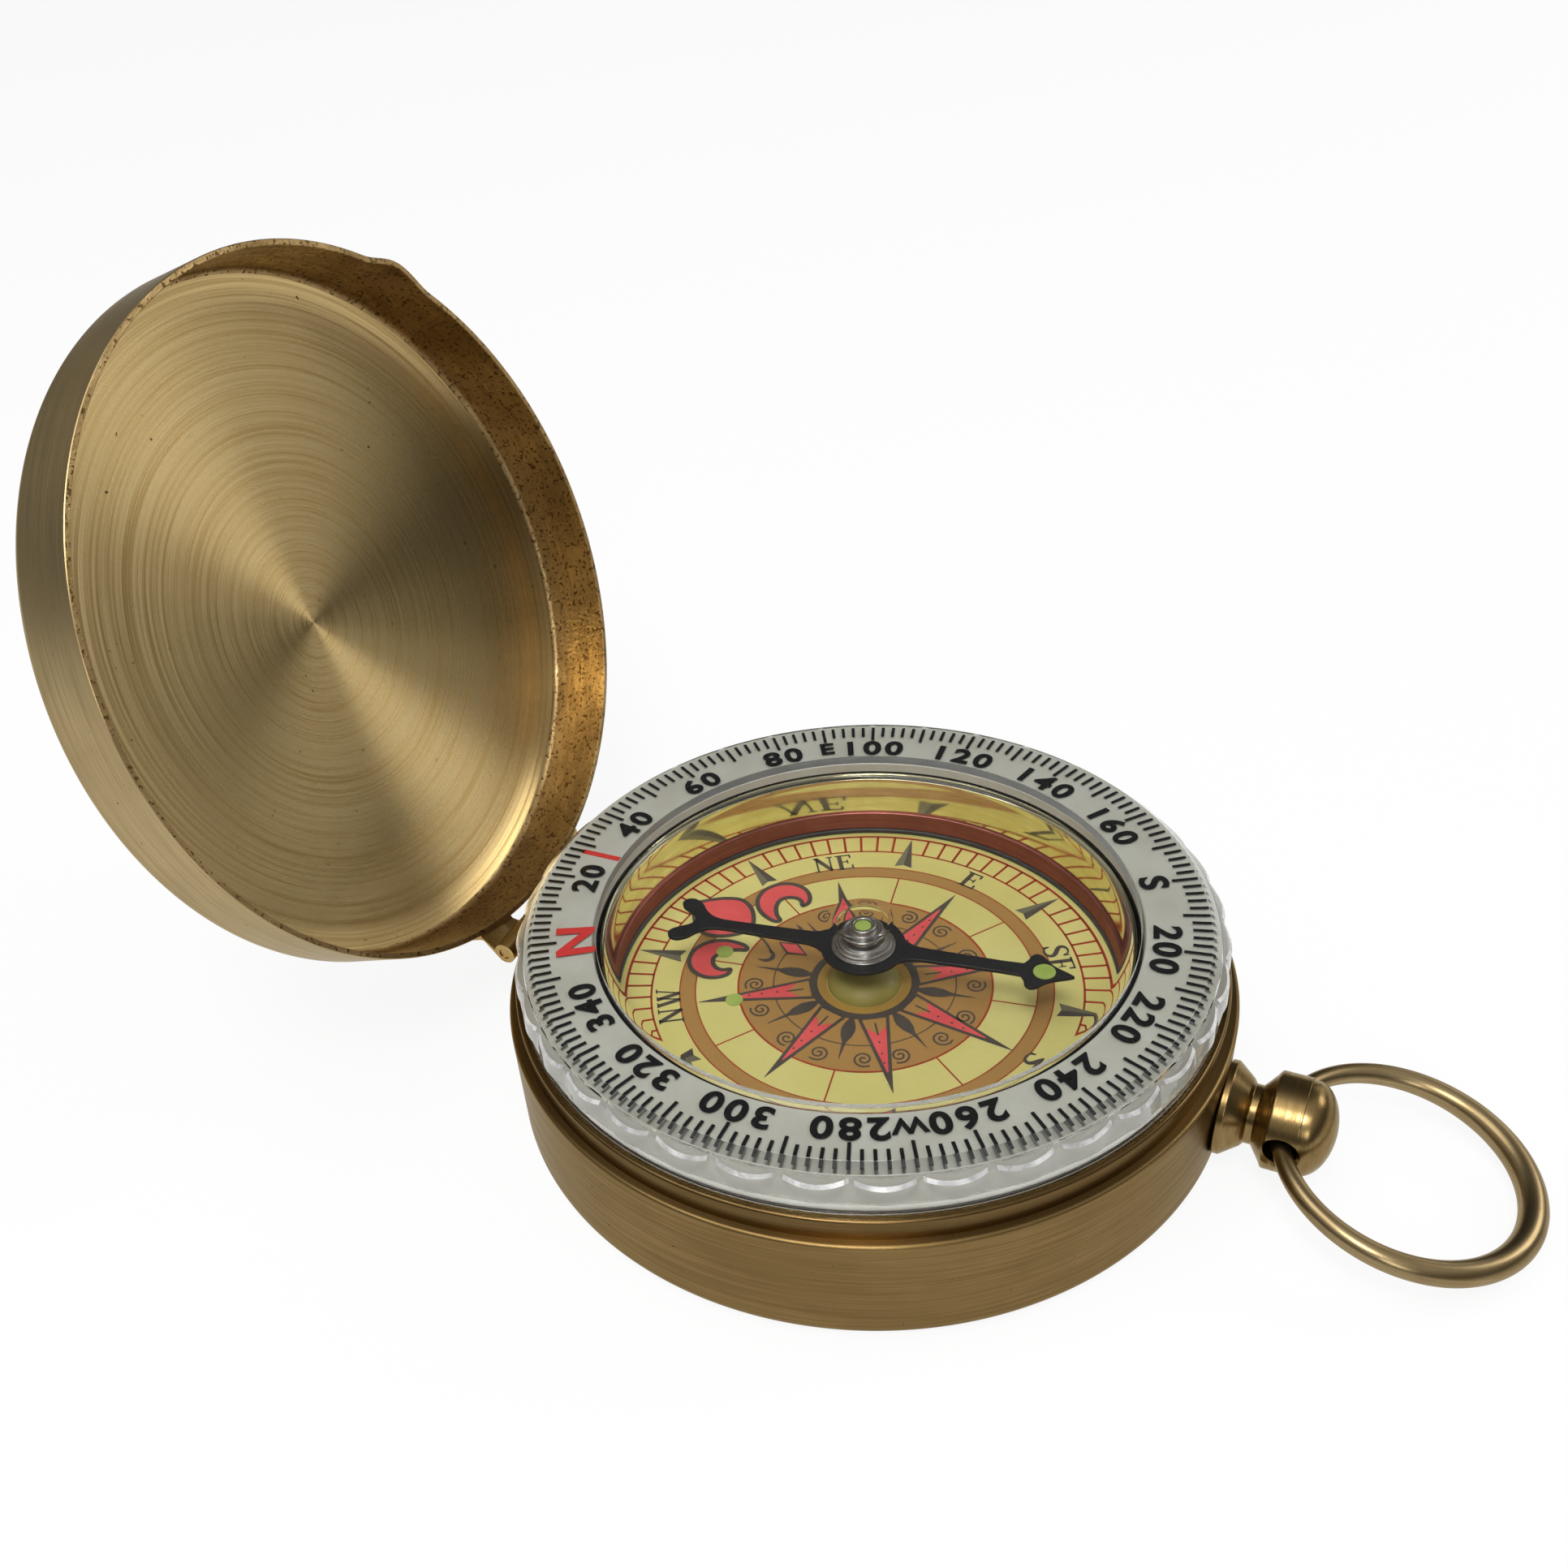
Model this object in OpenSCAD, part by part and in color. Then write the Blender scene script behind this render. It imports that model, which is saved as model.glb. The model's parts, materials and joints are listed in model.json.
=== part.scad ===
// Pocket compass in a brass hunter case, lying open on a table.
// Millimetres. Origin at the centre of the case's bottom face, +Z up, +X towards the
// pendant and its bow, -X towards the lid hinge. The lid is drawn open.

/* [Case] */
// Outer diameter of the brass case
case_d = 50; // [46:0.5:56]
// Height of the case from its bottom face to its shoulder
case_h = 8.65; // [8.2:0.05:9.4]
// Wall of the case
case_wall = 0.8; // [0.7:0.05:1]
// Floor of the case
case_floor = 1; // [0.8:0.1:1.2]
// Radius of the rounded bottom edge
case_corner = 1.2; // [0.8:0.1:1.6]
// Height of the slimmer neck above the shoulder
neck_h = 1.5; // [1.3:0.05:1.8]
// Width of the neck ring, from its outside to its bore
neck_w = 5.1; // [4.6:0.1:5.2]
// Depth of the neck ring's spigot inside the case
spigot_h = 1.75; // [1.2:0.05:2]
// Wall of the neck ring's spigot
spigot_wall = 1.15; // [0.8:0.05:1.4]

/* [Lid] */
// Sheet thickness of the lid's wall and plate
lid_t = 0.43; // [0.35:0.02:0.6]
// How far the lid's plate is domed outwards
lid_dome = 2.2; // [1.6:0.1:2.6]
// Radius of the lid's outer corner
lid_corner = 0.9; // [0.7:0.1:1.1]
// Angle of the open lid from its closed place
lid_open = 110.4; // [90:0.2:115]
// Radial play between the closed lid and what it covers
lid_gap = 0.15; // [0.1:0.01:0.2]
// Height of the lid's play over the bezel
lid_clear = 0.1; // [0.1:0.05:0.4]
// Play between the lid's rim and the case's shoulder
rim_gap = 0.05; // [0.04:0.01:0.12]
// How far the thumb lip stands out of the lid's wall
lip_out = 0.7; // [0.4:0.05:0.9]
// Radius of the thumb lip's swell
lip_r = 5; // [4:0.1:6]
// Height of the thumb lip along the wall
lip_h = 2; // [1.4:0.1:3]
// Angle from the pendant to the thumb lip
lip_angle = 43; // [30:1:60]

/* [Hinge] */
// Outer radius of the hinge barrel
barrel_r = 0.82; // [0.76:0.01:0.88]
// Radius of the hinge pin
pin_r = 0.45; // [0.35:0.01:0.5]
// Distance of the hinge axis outside the case's wall
hinge_out = 0.63; // [0.55:0.01:0.72]
// Depth of the hinge axis below the shoulder
hinge_drop = 1.28; // [1.1:0.02:1.4]
// Half the length of the hinge
hinge_half = 7.1; // [6:0.1:7.5]
// Half the length of the case's knuckle
knuckle_half = 3.3; // [2.6:0.1:3.6]
// Thickness of the lid's hinge leaf where it is thinnest
leaf_t = 0.5; // [0.4:0.02:0.55]
// Height of the hinge leaf along the lid's wall
leaf_h = 1.5; // [1.2:0.1:2]
// Radial running clearance of the hinge pin
pin_fit = 0.05; // [0.02:0.01:0.08]
// Gap around the barrels and between the knuckles
hinge_gap = 0.18; // [0.12:0.01:0.22]

/* [Bezel] */
// Thickness of the clear bezel's plate
plate_t = 0.65; // [0.5:0.05:0.8]
// How far the grip lobes stand back from the neck
grip_in = 0.2; // [0.16:0.01:0.3]
// Wall of the bezel at its lobes, from the bore outwards
bezel_wall = 0.75; // [0.7:0.05:0.8]
// Depth of the valleys between the grip lobes
valley = 0.4; // [0.25:0.01:0.42]
// Number of grip lobes
lobes = 36; // [24:1:48]
// Width of the bezel's chamfer seen from above
chamfer_w = 1.3; // [1:0.05:1.5]
// Height of the bezel's chamfer
chamfer_h = 1.15; // [0.8:0.05:1.2]
// Height of the plain skirt below the lobes
skirt_h = 1.1; // [1:0.05:1.2]
// How far the skirt stands back from the lobes
skirt_in = 0.15; // [0.1:0.01:0.2]
// Radial running clearance of the bezel
bezel_fit = 0.08; // [0.04:0.01:0.1]
// Vertical play of the bezel
bezel_play = 0.1; // [0.06:0.01:0.15]
// Thickness of the film that carries the printed scale
film_t = 0.05; // [0.04:0.01:0.08]
// Wire radius of the split ring that holds the bezel
spring_r = 0.3; // [0.24:0.01:0.32]

/* [Window] */
// Height of the luminous ring above the neck
glow_h = 2.8; // [2.6:0.05:3.2]
// Width of the luminous ring, from its outside to its opening
glow_w = 4.75; // [4.5:0.05:4.85]
// Wall of the capsule
capsule_wall = 0.35; // [0.3:0.01:0.45]
// Floor of the capsule
capsule_floor = 0.6; // [0.5:0.05:0.8]
// Depth of the crystal's edge below the luminous ring
crystal_down = 0.6; // [0.5:0.05:0.8]
// Thickness of the crystal
crystal_t = 0.8; // [0.6:0.05:0.85]
// Rise of the crystal's dome
crystal_rise = 0.6; // [0.5:0.05:0.8]
// Outer radius of the moulded bead under the crystal's middle
bead_r = 2.3; // [2.1:0.05:2.6]
// Depth of the bead below the crystal
bead_h = 0.12; // [0.06:0.01:0.16]
// Depth of the dial below the luminous ring's top
dial_down = 6.5; // [6.4:0.05:6.8]
// Thickness of the dial
dial_t = 0.4; // [0.3:0.05:0.5]
// Height of the black gasket on the dial's margin
gasket_h = 0.6; // [0.4:0.05:0.8]
// Width of the gasket
gasket_w = 0.85; // [0.7:0.05:1]
// Height of the copper damping ring
copper_h = 1.85; // [1.5:0.05:2.2]
// Width of the copper damping ring
copper_w = 0.65; // [0.5:0.05:0.75]
// Width of the polished reflector ring
reflector_w = 0.35; // [0.3:0.01:0.45]
// Play of the parts that drop into the capsule and the case
drop_fit = 0.05; // [0.02:0.01:0.06]

/* [Needle] */
// Direction of the needle's point, from the pendant towards +Y
needle_angle = 8; // [0:1:359]
// How far the needle's point stops short of the dial's edge
point_in = 3.75; // [3.2:0.05:5]
// How far the needle's tail stops short of the dial's edge
tail_in = 4.25; // [3.2:0.05:5]
// Depth of the blade's top below the luminous ring's top
needle_down = 2.85; // [2.8:0.05:3.2]
// Thickness of the blade
needle_t = 0.25; // [0.2:0.01:0.3]
// Outer radius of the blade's hub ring
hub_r = 2.95; // [2.7:0.05:3.2]
// Radius of the silver hub's foot
foot_r = 2.2; // [2.1:0.05:2.4]
// Height of the silver hub's foot
foot_h = 0.45; // [0.35:0.05:0.55]
// Radius of the silver cap above the foot
cap_r = 1.4; // [1.2:0.05:1.6]
// Height of the silver hub above the blade
hub_h = 1.55; // [1.4:0.05:1.6]
// Radius of the luminous dot on the hub
dot_r = 0.62; // [0.5:0.02:0.75]
// Radius of the luminous dot on the point
tip_dot_r = 0.75; // [0.6:0.05:0.8]
// Radius of the domed boss that carries the pivot
boss_r = 2.6; // [2.2:0.05:2.9]
// Height of the domed boss above the dial
boss_h = 1.6; // [1.2:0.05:1.9]
// Radius of the boss's stalk below the dial
stalk_r = 0.9; // [0.7:0.05:1.1]
// Radius of the steel pivot
pivot_r = 0.3; // [0.24:0.01:0.36]
// Play of the jewel over the pivot's point
jewel_gap = 0.05; // [0.03:0.01:0.1]

/* [Pendant] */
// Height of the pendant's axis above the bottom face
pendant_z = 4.3; // [4:0.05:4.8]
// Radius of the pendant's foot
pendant_foot = 3.15; // [2.4:0.05:3.2]
// Radius of the pendant's waist
pendant_waist = 1.98; // [1.6:0.02:2.2]
// Radius of the pendant's knob
pendant_knob = 3.25; // [2.8:0.05:3.4]
// Distance from the case to the waist
waist_at = 2; // [1.6:0.05:2.4]
// Distance from the case to the knob
knob_at = 3; // [2.8:0.05:3.4]
// Length of the knob's straight part
knob_len = 2.2; // [2:0.05:2.6]
// Height of the knob's domed end
knob_dome = 1.9; // [1.4:0.05:2.2]
// Radius of the pendant's threaded stem
stem_r = 1.25; // [1:0.05:1.4]
// Width across the flats of the pendant's nut
nut_af = 4; // [3.4:0.1:4]
// Thickness of the pendant's nut
nut_t = 1; // [0.8:0.05:1.2]

/* [Bow] */
// Width of the bow's wire inside the pendant
bow_thin = 1.15; // [1.05:0.01:1.2]
// Width of the bow's wire at its far end
bow_thick = 1.75; // [1.5:0.05:1.9]
// Diameter of the bow's centre line
bow_d = 15.52; // [14:0.02:17]
// Height of the bow's wire
bow_h = 1.15; // [1.1:0.01:1.15]
// Rounding of the bow's edges
bow_edge = 0.48; // [0.36:0.02:0.48]
// Slope of the bow from the pendant down to the table
bow_slope = 11; // [4:0.1:12]
// Radius of the pendant's cross hole
bow_hole_r = 1.05; // [1.03:0.01:1.1]
// Height of the cross hole above the pendant's axis
bow_up = 0.2; // [0:0.05:0.3]

/* [Hidden] */

$fn = 96;
small_fn = 48;
eps = 0.5;

case_r = case_d / 2;
case_bore = case_r - case_wall;
lid_r = case_r - 0.07;
lid_bore = lid_r - lid_t;
neck_r = lid_bore - lid_gap;
neck_bore = neck_r - neck_w;
neck_top = case_h + neck_h;
spigot_low = case_h - spigot_h;

glow_top = neck_top + glow_h;
film_low = glow_top + bezel_play;
plate_low = film_low + film_t;
bezel_top = plate_low + plate_t;
bezel_low = neck_top + bezel_play;
lobe_low = bezel_low + skirt_h;
lobe_out = neck_r - grip_in;
bezel_bore = lobe_out - bezel_wall;
glow_r = bezel_bore - bezel_fit;
glow_bore = glow_r - glow_w;
skirt_r = lobe_out - skirt_in;
plate_bore = glow_bore - 0.25;
film_r = glow_r - 0.1;
spring_z = bezel_low + 0.1 + spring_r;
spring_ring = glow_r + 0.01;

lobe_half = 180 / lobes;
valley_r = lobe_out - valley;
lobe_rise = lobe_out - valley_r * cos(lobe_half);
lobe_r = (lobe_rise * lobe_rise + pow(valley_r * sin(lobe_half), 2)) / (2 * lobe_rise);
lobe_at = lobe_out - lobe_r;
lobe_steps = 6;

capsule_r = glow_bore - 0.07;
capsule_bore = capsule_r - capsule_wall;
seat_r = capsule_bore - drop_fit;
dial_top = glow_top - dial_down;
dial_low = dial_top - dial_t;
capsule_low = dial_low - capsule_floor;
gasket_top = dial_top + gasket_h;
copper_top = gasket_top + copper_h;
crystal_edge = glow_top - crystal_down;
crystal_low = crystal_edge - crystal_t;
capsule_top = crystal_edge - 0.05;

tray_r = case_bore - drop_fit;
tray_floor = 0.8;
tray_wall = 1.1;
tray_ring_w = 1.4;
tray_boss_r = 2;

needle_tip = seat_r - point_in;
needle_tail = seat_r - tail_in;
blade_top = glow_top - needle_down;
blade_low = blade_top - needle_t;
foot_top = blade_top + foot_h;
cap_low = blade_top + hub_h - 0.5;
hub_top = blade_top + hub_h;
spigot_r = foot_r - 0.2;
jewel_r = 0.6;
jewel_h = 0.7;
jewel_low = blade_low + 0.2;
cup_h = 0.35;
pivot_tip = jewel_low + cup_h - jewel_gap;
pivot_cone = 0.55;
stalk_low = capsule_low - 2;
dot_wall = 0.24;
dot_h = 0.3;
tip_dot_at = needle_tip - 1.98;

hinge_x = -(case_r + hinge_out);
hinge_z = case_h - hinge_drop;
pocket_x = case_r - 0.4;
lid_rim = case_h + rim_gap;
lid_under = bezel_top + lid_clear;
lid_edge = lid_under + lid_t;
lip_height = lid_rim + lip_h;

stem_fit = 0.05;
knob_x = case_r + knob_at;
bow_x = knob_x + knob_len / 2;
knob_end = knob_x + knob_len;
pendant_tip = knob_end + knob_dome;
nut_out = case_bore - 0.15;
nut_in = nut_out - nut_t;
stem_end = nut_in - 0.4;

// The wire's arc inside the pendant sits to the case's side of the hole's axis
bow_back = 0.39;
bow_near_out = -bow_back - bow_thin / 2;
bow_near_in = -bow_back + bow_thin / 2;
bow_far_out = bow_d - bow_back + bow_thick / 2;
bow_far_in = bow_d - bow_back - bow_thick / 2;
bow_out_r = (bow_far_out - bow_near_out) / 2;
bow_in_r = (bow_far_in - bow_near_in) / 2;
bow_out_x = (bow_far_out + bow_near_out) / 2;
bow_in_x = (bow_far_in + bow_near_in) / 2;
bow_half = bow_h / 2;

brass = [0.72, 0.6, 0.36];
bright_brass = [0.83, 0.7, 0.42];
clear = [0.86, 0.88, 0.88, 0.45];
silver = [0.78, 0.78, 0.76];
glow = [0.7, 0.7, 0.64];
black = [0.07, 0.07, 0.08];
lume = [0.62, 0.76, 0.36];

function arc(cx, cy, r, a0, a1, n) =
    [for (i = [0 : n]) let (a = a0 + (a1 - a0) * i / n) [cx + r * cos(a), cy + r * sin(a)]];

// Points of a shallow dome, from radius r0 in to the axis, height h at the middle
function dome(r, z, h, r0, n) =
    [for (i = [0 : n]) let (q = r0 * (1 - i / n)) [q, z + h * (1 - q * q / (r * r))]];

function lobe_radius(t) = lobe_at * cos(t) + sqrt(lobe_r * lobe_r - pow(lobe_at * sin(t), 2));

function lobe_outline() =
    [for (i = [0 : lobes - 1], j = [0 : lobe_steps - 1])
        let (t = lobe_half * (2 * j / lobe_steps - 1), a = lobe_half * (2 * i + 1) + t)
            lobe_radius(t) * [cos(a), sin(a)]];

module tube(outer, inner, low, high) {
    translate([0, 0, low])
        difference() {
            cylinder(r = outer, h = high - low);
            translate([0, 0, -eps])
                cylinder(r = inner, h = high - low + 2 * eps);
        }
}

module disc(r, low, high) {
    translate([0, 0, low])
        cylinder(r = r, h = high - low);
}

// A bar along Y on the hinge's axis
module on_hinge(r, y0, y1) {
    translate([hinge_x, y0, hinge_z])
        rotate([-90, 0, 0])
            cylinder(r = r, h = y1 - y0, $fn = small_fn);
}

module opened() {
    translate([hinge_x, 0, hinge_z])
        rotate([0, -lid_open, 0])
            translate([-hinge_x, 0, -hinge_z])
                children();
}

module case_cup() {
    rim = 0.25;
    outside = concat([[0, 0]], arc(case_r - case_corner, case_corner, case_corner, -90, 0, 8),
        arc(case_r - rim, case_h - rim, rim, 0, 90, 4));
    color(brass)
        difference() {
            rotate_extrude()
                polygon(concat(outside, [[case_bore, case_h], [case_bore, case_floor], [0, case_floor]]));
            translate([case_bore - 1, 0, pendant_z])
                rotate([0, 90, 0])
                    cylinder(r = stem_r + stem_fit, h = case_wall + 2, $fn = small_fn);
            on_hinge(barrel_r + hinge_gap, -hinge_half - hinge_gap, hinge_half + hinge_gap);
            translate([-pocket_x - 2, -knuckle_half, hinge_z - barrel_r])
                cube([2, 2 * knuckle_half, 2 * barrel_r]);
        }
}

module case_knuckle() {
    color(bright_brass)
        difference() {
            union() {
                on_hinge(barrel_r, -knuckle_half, knuckle_half);
                translate([hinge_x, -knuckle_half, hinge_z - barrel_r])
                    cube([-pocket_x - hinge_x, 2 * knuckle_half, 2 * barrel_r]);
            }
            on_hinge(pin_r + pin_fit, -knuckle_half - eps, knuckle_half + eps);
        }
}

module neck_ring() {
    color(bright_brass) {
        difference() {
            union() {
                disc(neck_r, case_h, neck_top);
                disc(tray_r, spigot_low, case_h);
            }
            disc(neck_bore, case_h - eps, neck_top + eps);
            disc(tray_r - spigot_wall, spigot_low - eps, case_h);
        }
    }
}

module inner_tray() {
    color(black)
        difference() {
            union() {
                disc(tray_r, case_floor, case_floor + tray_floor);
                tube(tray_r, tray_r - tray_wall, case_floor, spigot_low);
                tube(capsule_r, capsule_r - tray_ring_w, case_floor, capsule_low);
                disc(tray_boss_r, case_floor, capsule_low);
            }
            disc(stalk_r, stalk_low, capsule_low + eps);
            translate([nut_in - 0.6, -nut_af * 0.62, case_floor + tray_floor])
                cube([4, nut_af * 1.24, 10]);
        }
}

module capsule_body() {
    color(clear)
        difference() {
            disc(capsule_r, capsule_low, capsule_top);
            disc(capsule_bore, dial_low, capsule_top + eps);
            disc(stalk_r + drop_fit, capsule_low - eps, dial_low + eps);
        }
}

module dial_plate() {
    color([0.76, 0.74, 0.45])
        tube(seat_r, stalk_r + drop_fit, dial_low, dial_top);
}

// Two luminous dots beside the north mark, as [distance from the dial's edge, angle]
module dial_dots() {
    color(lume)
        for (spot = [[7.65, 184.5], [8.75, 212]])
            rotate(spot[1])
                translate([seat_r - spot[0], 0, dial_top])
                    cylinder(r = 0.62, h = 0.06, $fn = small_fn);
}

module dial_gasket() {
    color(black)
        tube(seat_r, seat_r - gasket_w, dial_top, gasket_top);
}

module damping_ring() {
    color([0.45, 0.24, 0.2])
        tube(seat_r, seat_r - copper_w, gasket_top, copper_top);
}

module reflector_ring() {
    color(silver)
        tube(seat_r, seat_r - reflector_w, copper_top, crystal_low);
}

// A thin domed window with a moulded bead under its middle
module crystal() {
    under = dome(seat_r, crystal_low, crystal_rise, seat_r, 10);
    bead_z = crystal_low + crystal_rise - 0.1;
    color(clear)
        union() {
            rotate_extrude()
                polygon(concat(dome(seat_r, crystal_edge, crystal_rise, seat_r, 10),
                    [for (i = [len(under) - 1 : -1 : 0]) under[i]]));
            tube(bead_r, bead_r - 0.25, bead_z + 0.1 - bead_h, bead_z + 0.3);
        }
}

module luminous_ring() {
    groove = spring_r + 0.02;
    color(glow)
        difference() {
            tube(glow_r, glow_bore, neck_top, glow_top);
            tube(glow_r + eps, glow_r - spring_r, spring_z - groove, spring_z + groove);
        }
}

module index_mark() {
    color([0.72, 0.12, 0.12])
        rotate(181.6)
            translate([glow_bore + 0.15, -0.22, glow_top])
                cube([3, 0.44, 0.05]);
}

// A split wire ring, sprung into the luminous ring's groove
module bezel_spring() {
    color(silver)
        difference() {
            translate([0, 0, spring_z])
                rotate_extrude()
                    translate([spring_ring, 0])
                        circle(r = spring_r, $fn = 24);
            rotate(60)
                translate([glow_bore, -1.2, spring_z - 1])
                    cube([8, 2.4, 2]);
        }
}

// A domed boss over the dial's middle, on a stalk that goes down into the tray
module pivot_boss() {
    steps = 10;
    color([0.6, 0.56, 0.3])
        difference() {
            rotate_extrude()
                polygon(concat([[0, stalk_low], [stalk_r, stalk_low], [stalk_r, dial_top]],
                    [for (i = [0 : steps]) let (a = 90 * i / steps)
                        [boss_r * cos(a), dial_top + boss_h * sin(a)]]));
            disc(pivot_r, dial_top - 0.5, dial_top + boss_h + eps);
        }
}

module pivot_pin() {
    color(silver) {
        disc(pivot_r, dial_top - 0.5, pivot_tip - pivot_cone);
        translate([0, 0, pivot_tip - pivot_cone])
            cylinder(r1 = pivot_r, r2 = 0.02, h = pivot_cone);
    }
}

// Turned along X: foot, cone, waist, knob with a domed end, and the threaded stem
module pendant() {
    knob_edge = 0.25;
    profile = concat([[0, stem_end], [stem_r, stem_end], [stem_r, case_r], [pendant_foot, case_r],
        [pendant_foot - 0.05, case_r + 0.6], [pendant_waist, case_r + waist_at],
        [pendant_waist, case_r + waist_at + 0.15], [pendant_knob - 0.1, knob_x],
        [pendant_knob, knob_x + knob_edge], [pendant_knob, knob_end]],
        [for (a = [20 : 14 : 90]) [(pendant_knob - 0.1) * cos(a), knob_end + knob_dome * sin(a)]],
        [[0, pendant_tip]]);
    color(bright_brass)
        translate([0, 0, pendant_z])
            difference() {
                rotate([0, 90, 0])
                    rotate_extrude()
                        polygon(profile);
                translate([bow_x, -pendant_knob - eps, bow_up])
                    rotate([-90, 0, 0])
                        cylinder(r = bow_hole_r, h = 2 * (pendant_knob + eps), $fn = small_fn);
                for (side = [0, 180])
                    translate([bow_x, 0, bow_up])
                        rotate([0, 0, side])
                            translate([0, pendant_knob - 0.3, 0])
                                rotate([-90, 0, 0])
                                    cylinder(r1 = bow_hole_r, r2 = bow_hole_r + 0.6, h = 0.6, $fn = small_fn);
            }
}

module pendant_nut() {
    color(bright_brass)
        translate([nut_in, 0, pendant_z])
            rotate([0, 90, 0])
                difference() {
                    cylinder(r = nut_af / 2 / cos(30), h = nut_t, $fn = 6);
                    translate([0, 0, -eps])
                        cylinder(r = stem_r, h = nut_t + 2 * eps, $fn = small_fn);
                }
}

// Drawn closed over the case, then opened about the hinge
module lid_shell() {
    steps = 10;
    inner_r = lid_bore - 0.1;
    outer_plate = lid_r - lid_corner;
    outside = concat([[lid_bore, lid_rim], [lid_r, lid_rim]],
        arc(outer_plate, lid_edge - lid_corner, lid_corner, 0, 80, 6),
        dome(lid_r, lid_edge, lid_dome, outer_plate, steps));
    inside = [for (i = [0 : steps]) let (q = inner_r * i / steps)
        [q, lid_under + lid_dome * (1 - q * q / (lid_r * lid_r))]];
    color(brass)
        opened() {
            rotate_extrude()
                polygon(concat(outside, inside, [[lid_bore, lid_under - 0.15]]));
            rotate(lip_angle)
                difference() {
                    translate([lid_r + lip_out - lip_r, 0, lid_rim])
                        cylinder(r = lip_r, h = lip_height - lid_rim);
                    translate([0, 0, lid_rim - eps])
                        cylinder(r = lid_r - lid_t / 2, h = lip_height - lid_rim + 2 * eps);
                }
        }
}

// A rolled knuckle with its leaf, soldered to the outside of the lid's wall
module lid_knuckle(y0, y1) {
    leaf_top = lid_rim + leaf_h;
    color(bright_brass)
        opened()
            difference() {
                union() {
                    on_hinge(barrel_r, y0, y1);
                    translate([-lid_r - leaf_t, y0, hinge_z])
                        cube([2, y1 - y0, leaf_top - hinge_z]);
                }
                disc(case_r + hinge_gap, hinge_z - barrel_r - eps, lid_rim);
                disc(lid_r, lid_rim - eps, leaf_top + eps);
                on_hinge(pin_r, y0 - eps, y1 + eps);
            }
}

module lid_knuckle_near() {
    lid_knuckle(-hinge_half, -knuckle_half - hinge_gap);
}

module lid_knuckle_far() {
    lid_knuckle(knuckle_half + hinge_gap, hinge_half);
}

module hinge_pin() {
    color(silver)
        on_hinge(pin_r, -hinge_half + 0.08, hinge_half - 0.08);
}

module bezel_ring() {
    groove = spring_r + 0.08;
    color(clear)
        difference() {
            union() {
                translate([0, 0, lobe_low])
                    linear_extrude(bezel_top - lobe_low)
                        polygon(lobe_outline());
                disc(skirt_r, bezel_low, lobe_low);
            }
            rotate_extrude()
                polygon([[lobe_out - chamfer_w, bezel_top], [lobe_out, bezel_top - chamfer_h],
                    [lobe_out + 1, bezel_top - chamfer_h], [lobe_out + 1, bezel_top + 1],
                    [lobe_out - chamfer_w, bezel_top + 1]]);
            disc(bezel_bore, bezel_low - eps, plate_low);
            disc(plate_bore, plate_low - eps, bezel_top + eps);
            disc(spring_ring + groove, spring_z - groove, spring_z + groove);
        }
}

module bezel_scale() {
    color([0.9, 0.9, 0.88, 0.5])
        tube(film_r, plate_bore + 0.1, film_low, plate_low);
}

// Half of the blade's outline as [along, aside], mirrored for the other half
function blade_front() = [[0, 0.95], [4.5, 0.72], [needle_tip - 3.45, 0.52],
    [needle_tip - 3.25, 1.25], [needle_tip - 2.95, 1.6], [needle_tip - 2.55, 1.6],
    [needle_tip - 2.15, 1.2], [needle_tip - 1.35, 0.75], [needle_tip - 0.35, 0.32], [needle_tip, 0]];

function blade_back() = [[-needle_tail + 1.75, 0], [-needle_tail + 1.4, 0.6],
    [-needle_tail + 0.5, 1.1], [-needle_tail, 1.6], [-needle_tail + 0.2, 2.15],
    [-needle_tail + 0.9, 2.2], [-needle_tail + 1.9, 1.5], [-needle_tail + 2.5, 0.8],
    [-needle_tail + 3.25, 0.47], [-4.5, 0.68], [0, 0.95]];

module needle_blade() {
    color(black)
        rotate(needle_angle)
            translate([0, 0, blade_low])
                difference() {
                    union() {
                        for (side = [1, -1]) {
                            linear_extrude(needle_t)
                                polygon([for (p = concat([[0, 0]], blade_front())) [p[0], side * p[1]]]);
                            linear_extrude(needle_t)
                                polygon([for (p = concat(blade_back(), [[0, 0]])) [p[0], side * p[1]]]);
                        }
                        cylinder(r = hub_r, h = needle_t);
                    }
                    translate([0, 0, -eps])
                        cylinder(r = spigot_r, h = needle_t + 2 * eps);
                    translate([tip_dot_at, 0, needle_t / 2])
                        cylinder(r = tip_dot_r, h = needle_t, $fn = small_fn);
                }
}

module needle_hub() {
    waist = 0.95;
    color(silver)
        difference() {
            rotate_extrude()
                polygon([[0, blade_low], [spigot_r, blade_low], [spigot_r, blade_top],
                    [foot_r, blade_top], [foot_r, foot_top - 0.15], [foot_r - 0.15, foot_top],
                    [waist, foot_top], [waist, cap_low], [cap_r, cap_low],
                    [cap_r, hub_top - 0.12], [cap_r - 0.12, hub_top], [dot_r + dot_wall, hub_top],
                    [dot_r + dot_wall, hub_top + dot_h], [0, hub_top + dot_h]]);
            disc(jewel_r, blade_low - eps, jewel_low + jewel_h);
            disc(dot_r, hub_top, hub_top + dot_h + eps);
        }
}

module needle_jewel() {
    color([0.75, 0.2, 0.3])
        difference() {
            disc(jewel_r, jewel_low, jewel_low + jewel_h);
            translate([0, 0, jewel_low - 0.01])
                cylinder(r1 = jewel_r * 0.7, r2 = 0.03, h = cup_h);
        }
}

module hub_dot() {
    color(lume)
        disc(dot_r, hub_top, hub_top + dot_h - 0.05);
}

module tip_dot() {
    color(lume)
        rotate(needle_angle)
            translate([tip_dot_at, 0, blade_low + needle_t / 2])
                cylinder(r = tip_dot_r, h = needle_t / 2 + 0.08, $fn = small_fn);
}

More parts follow.
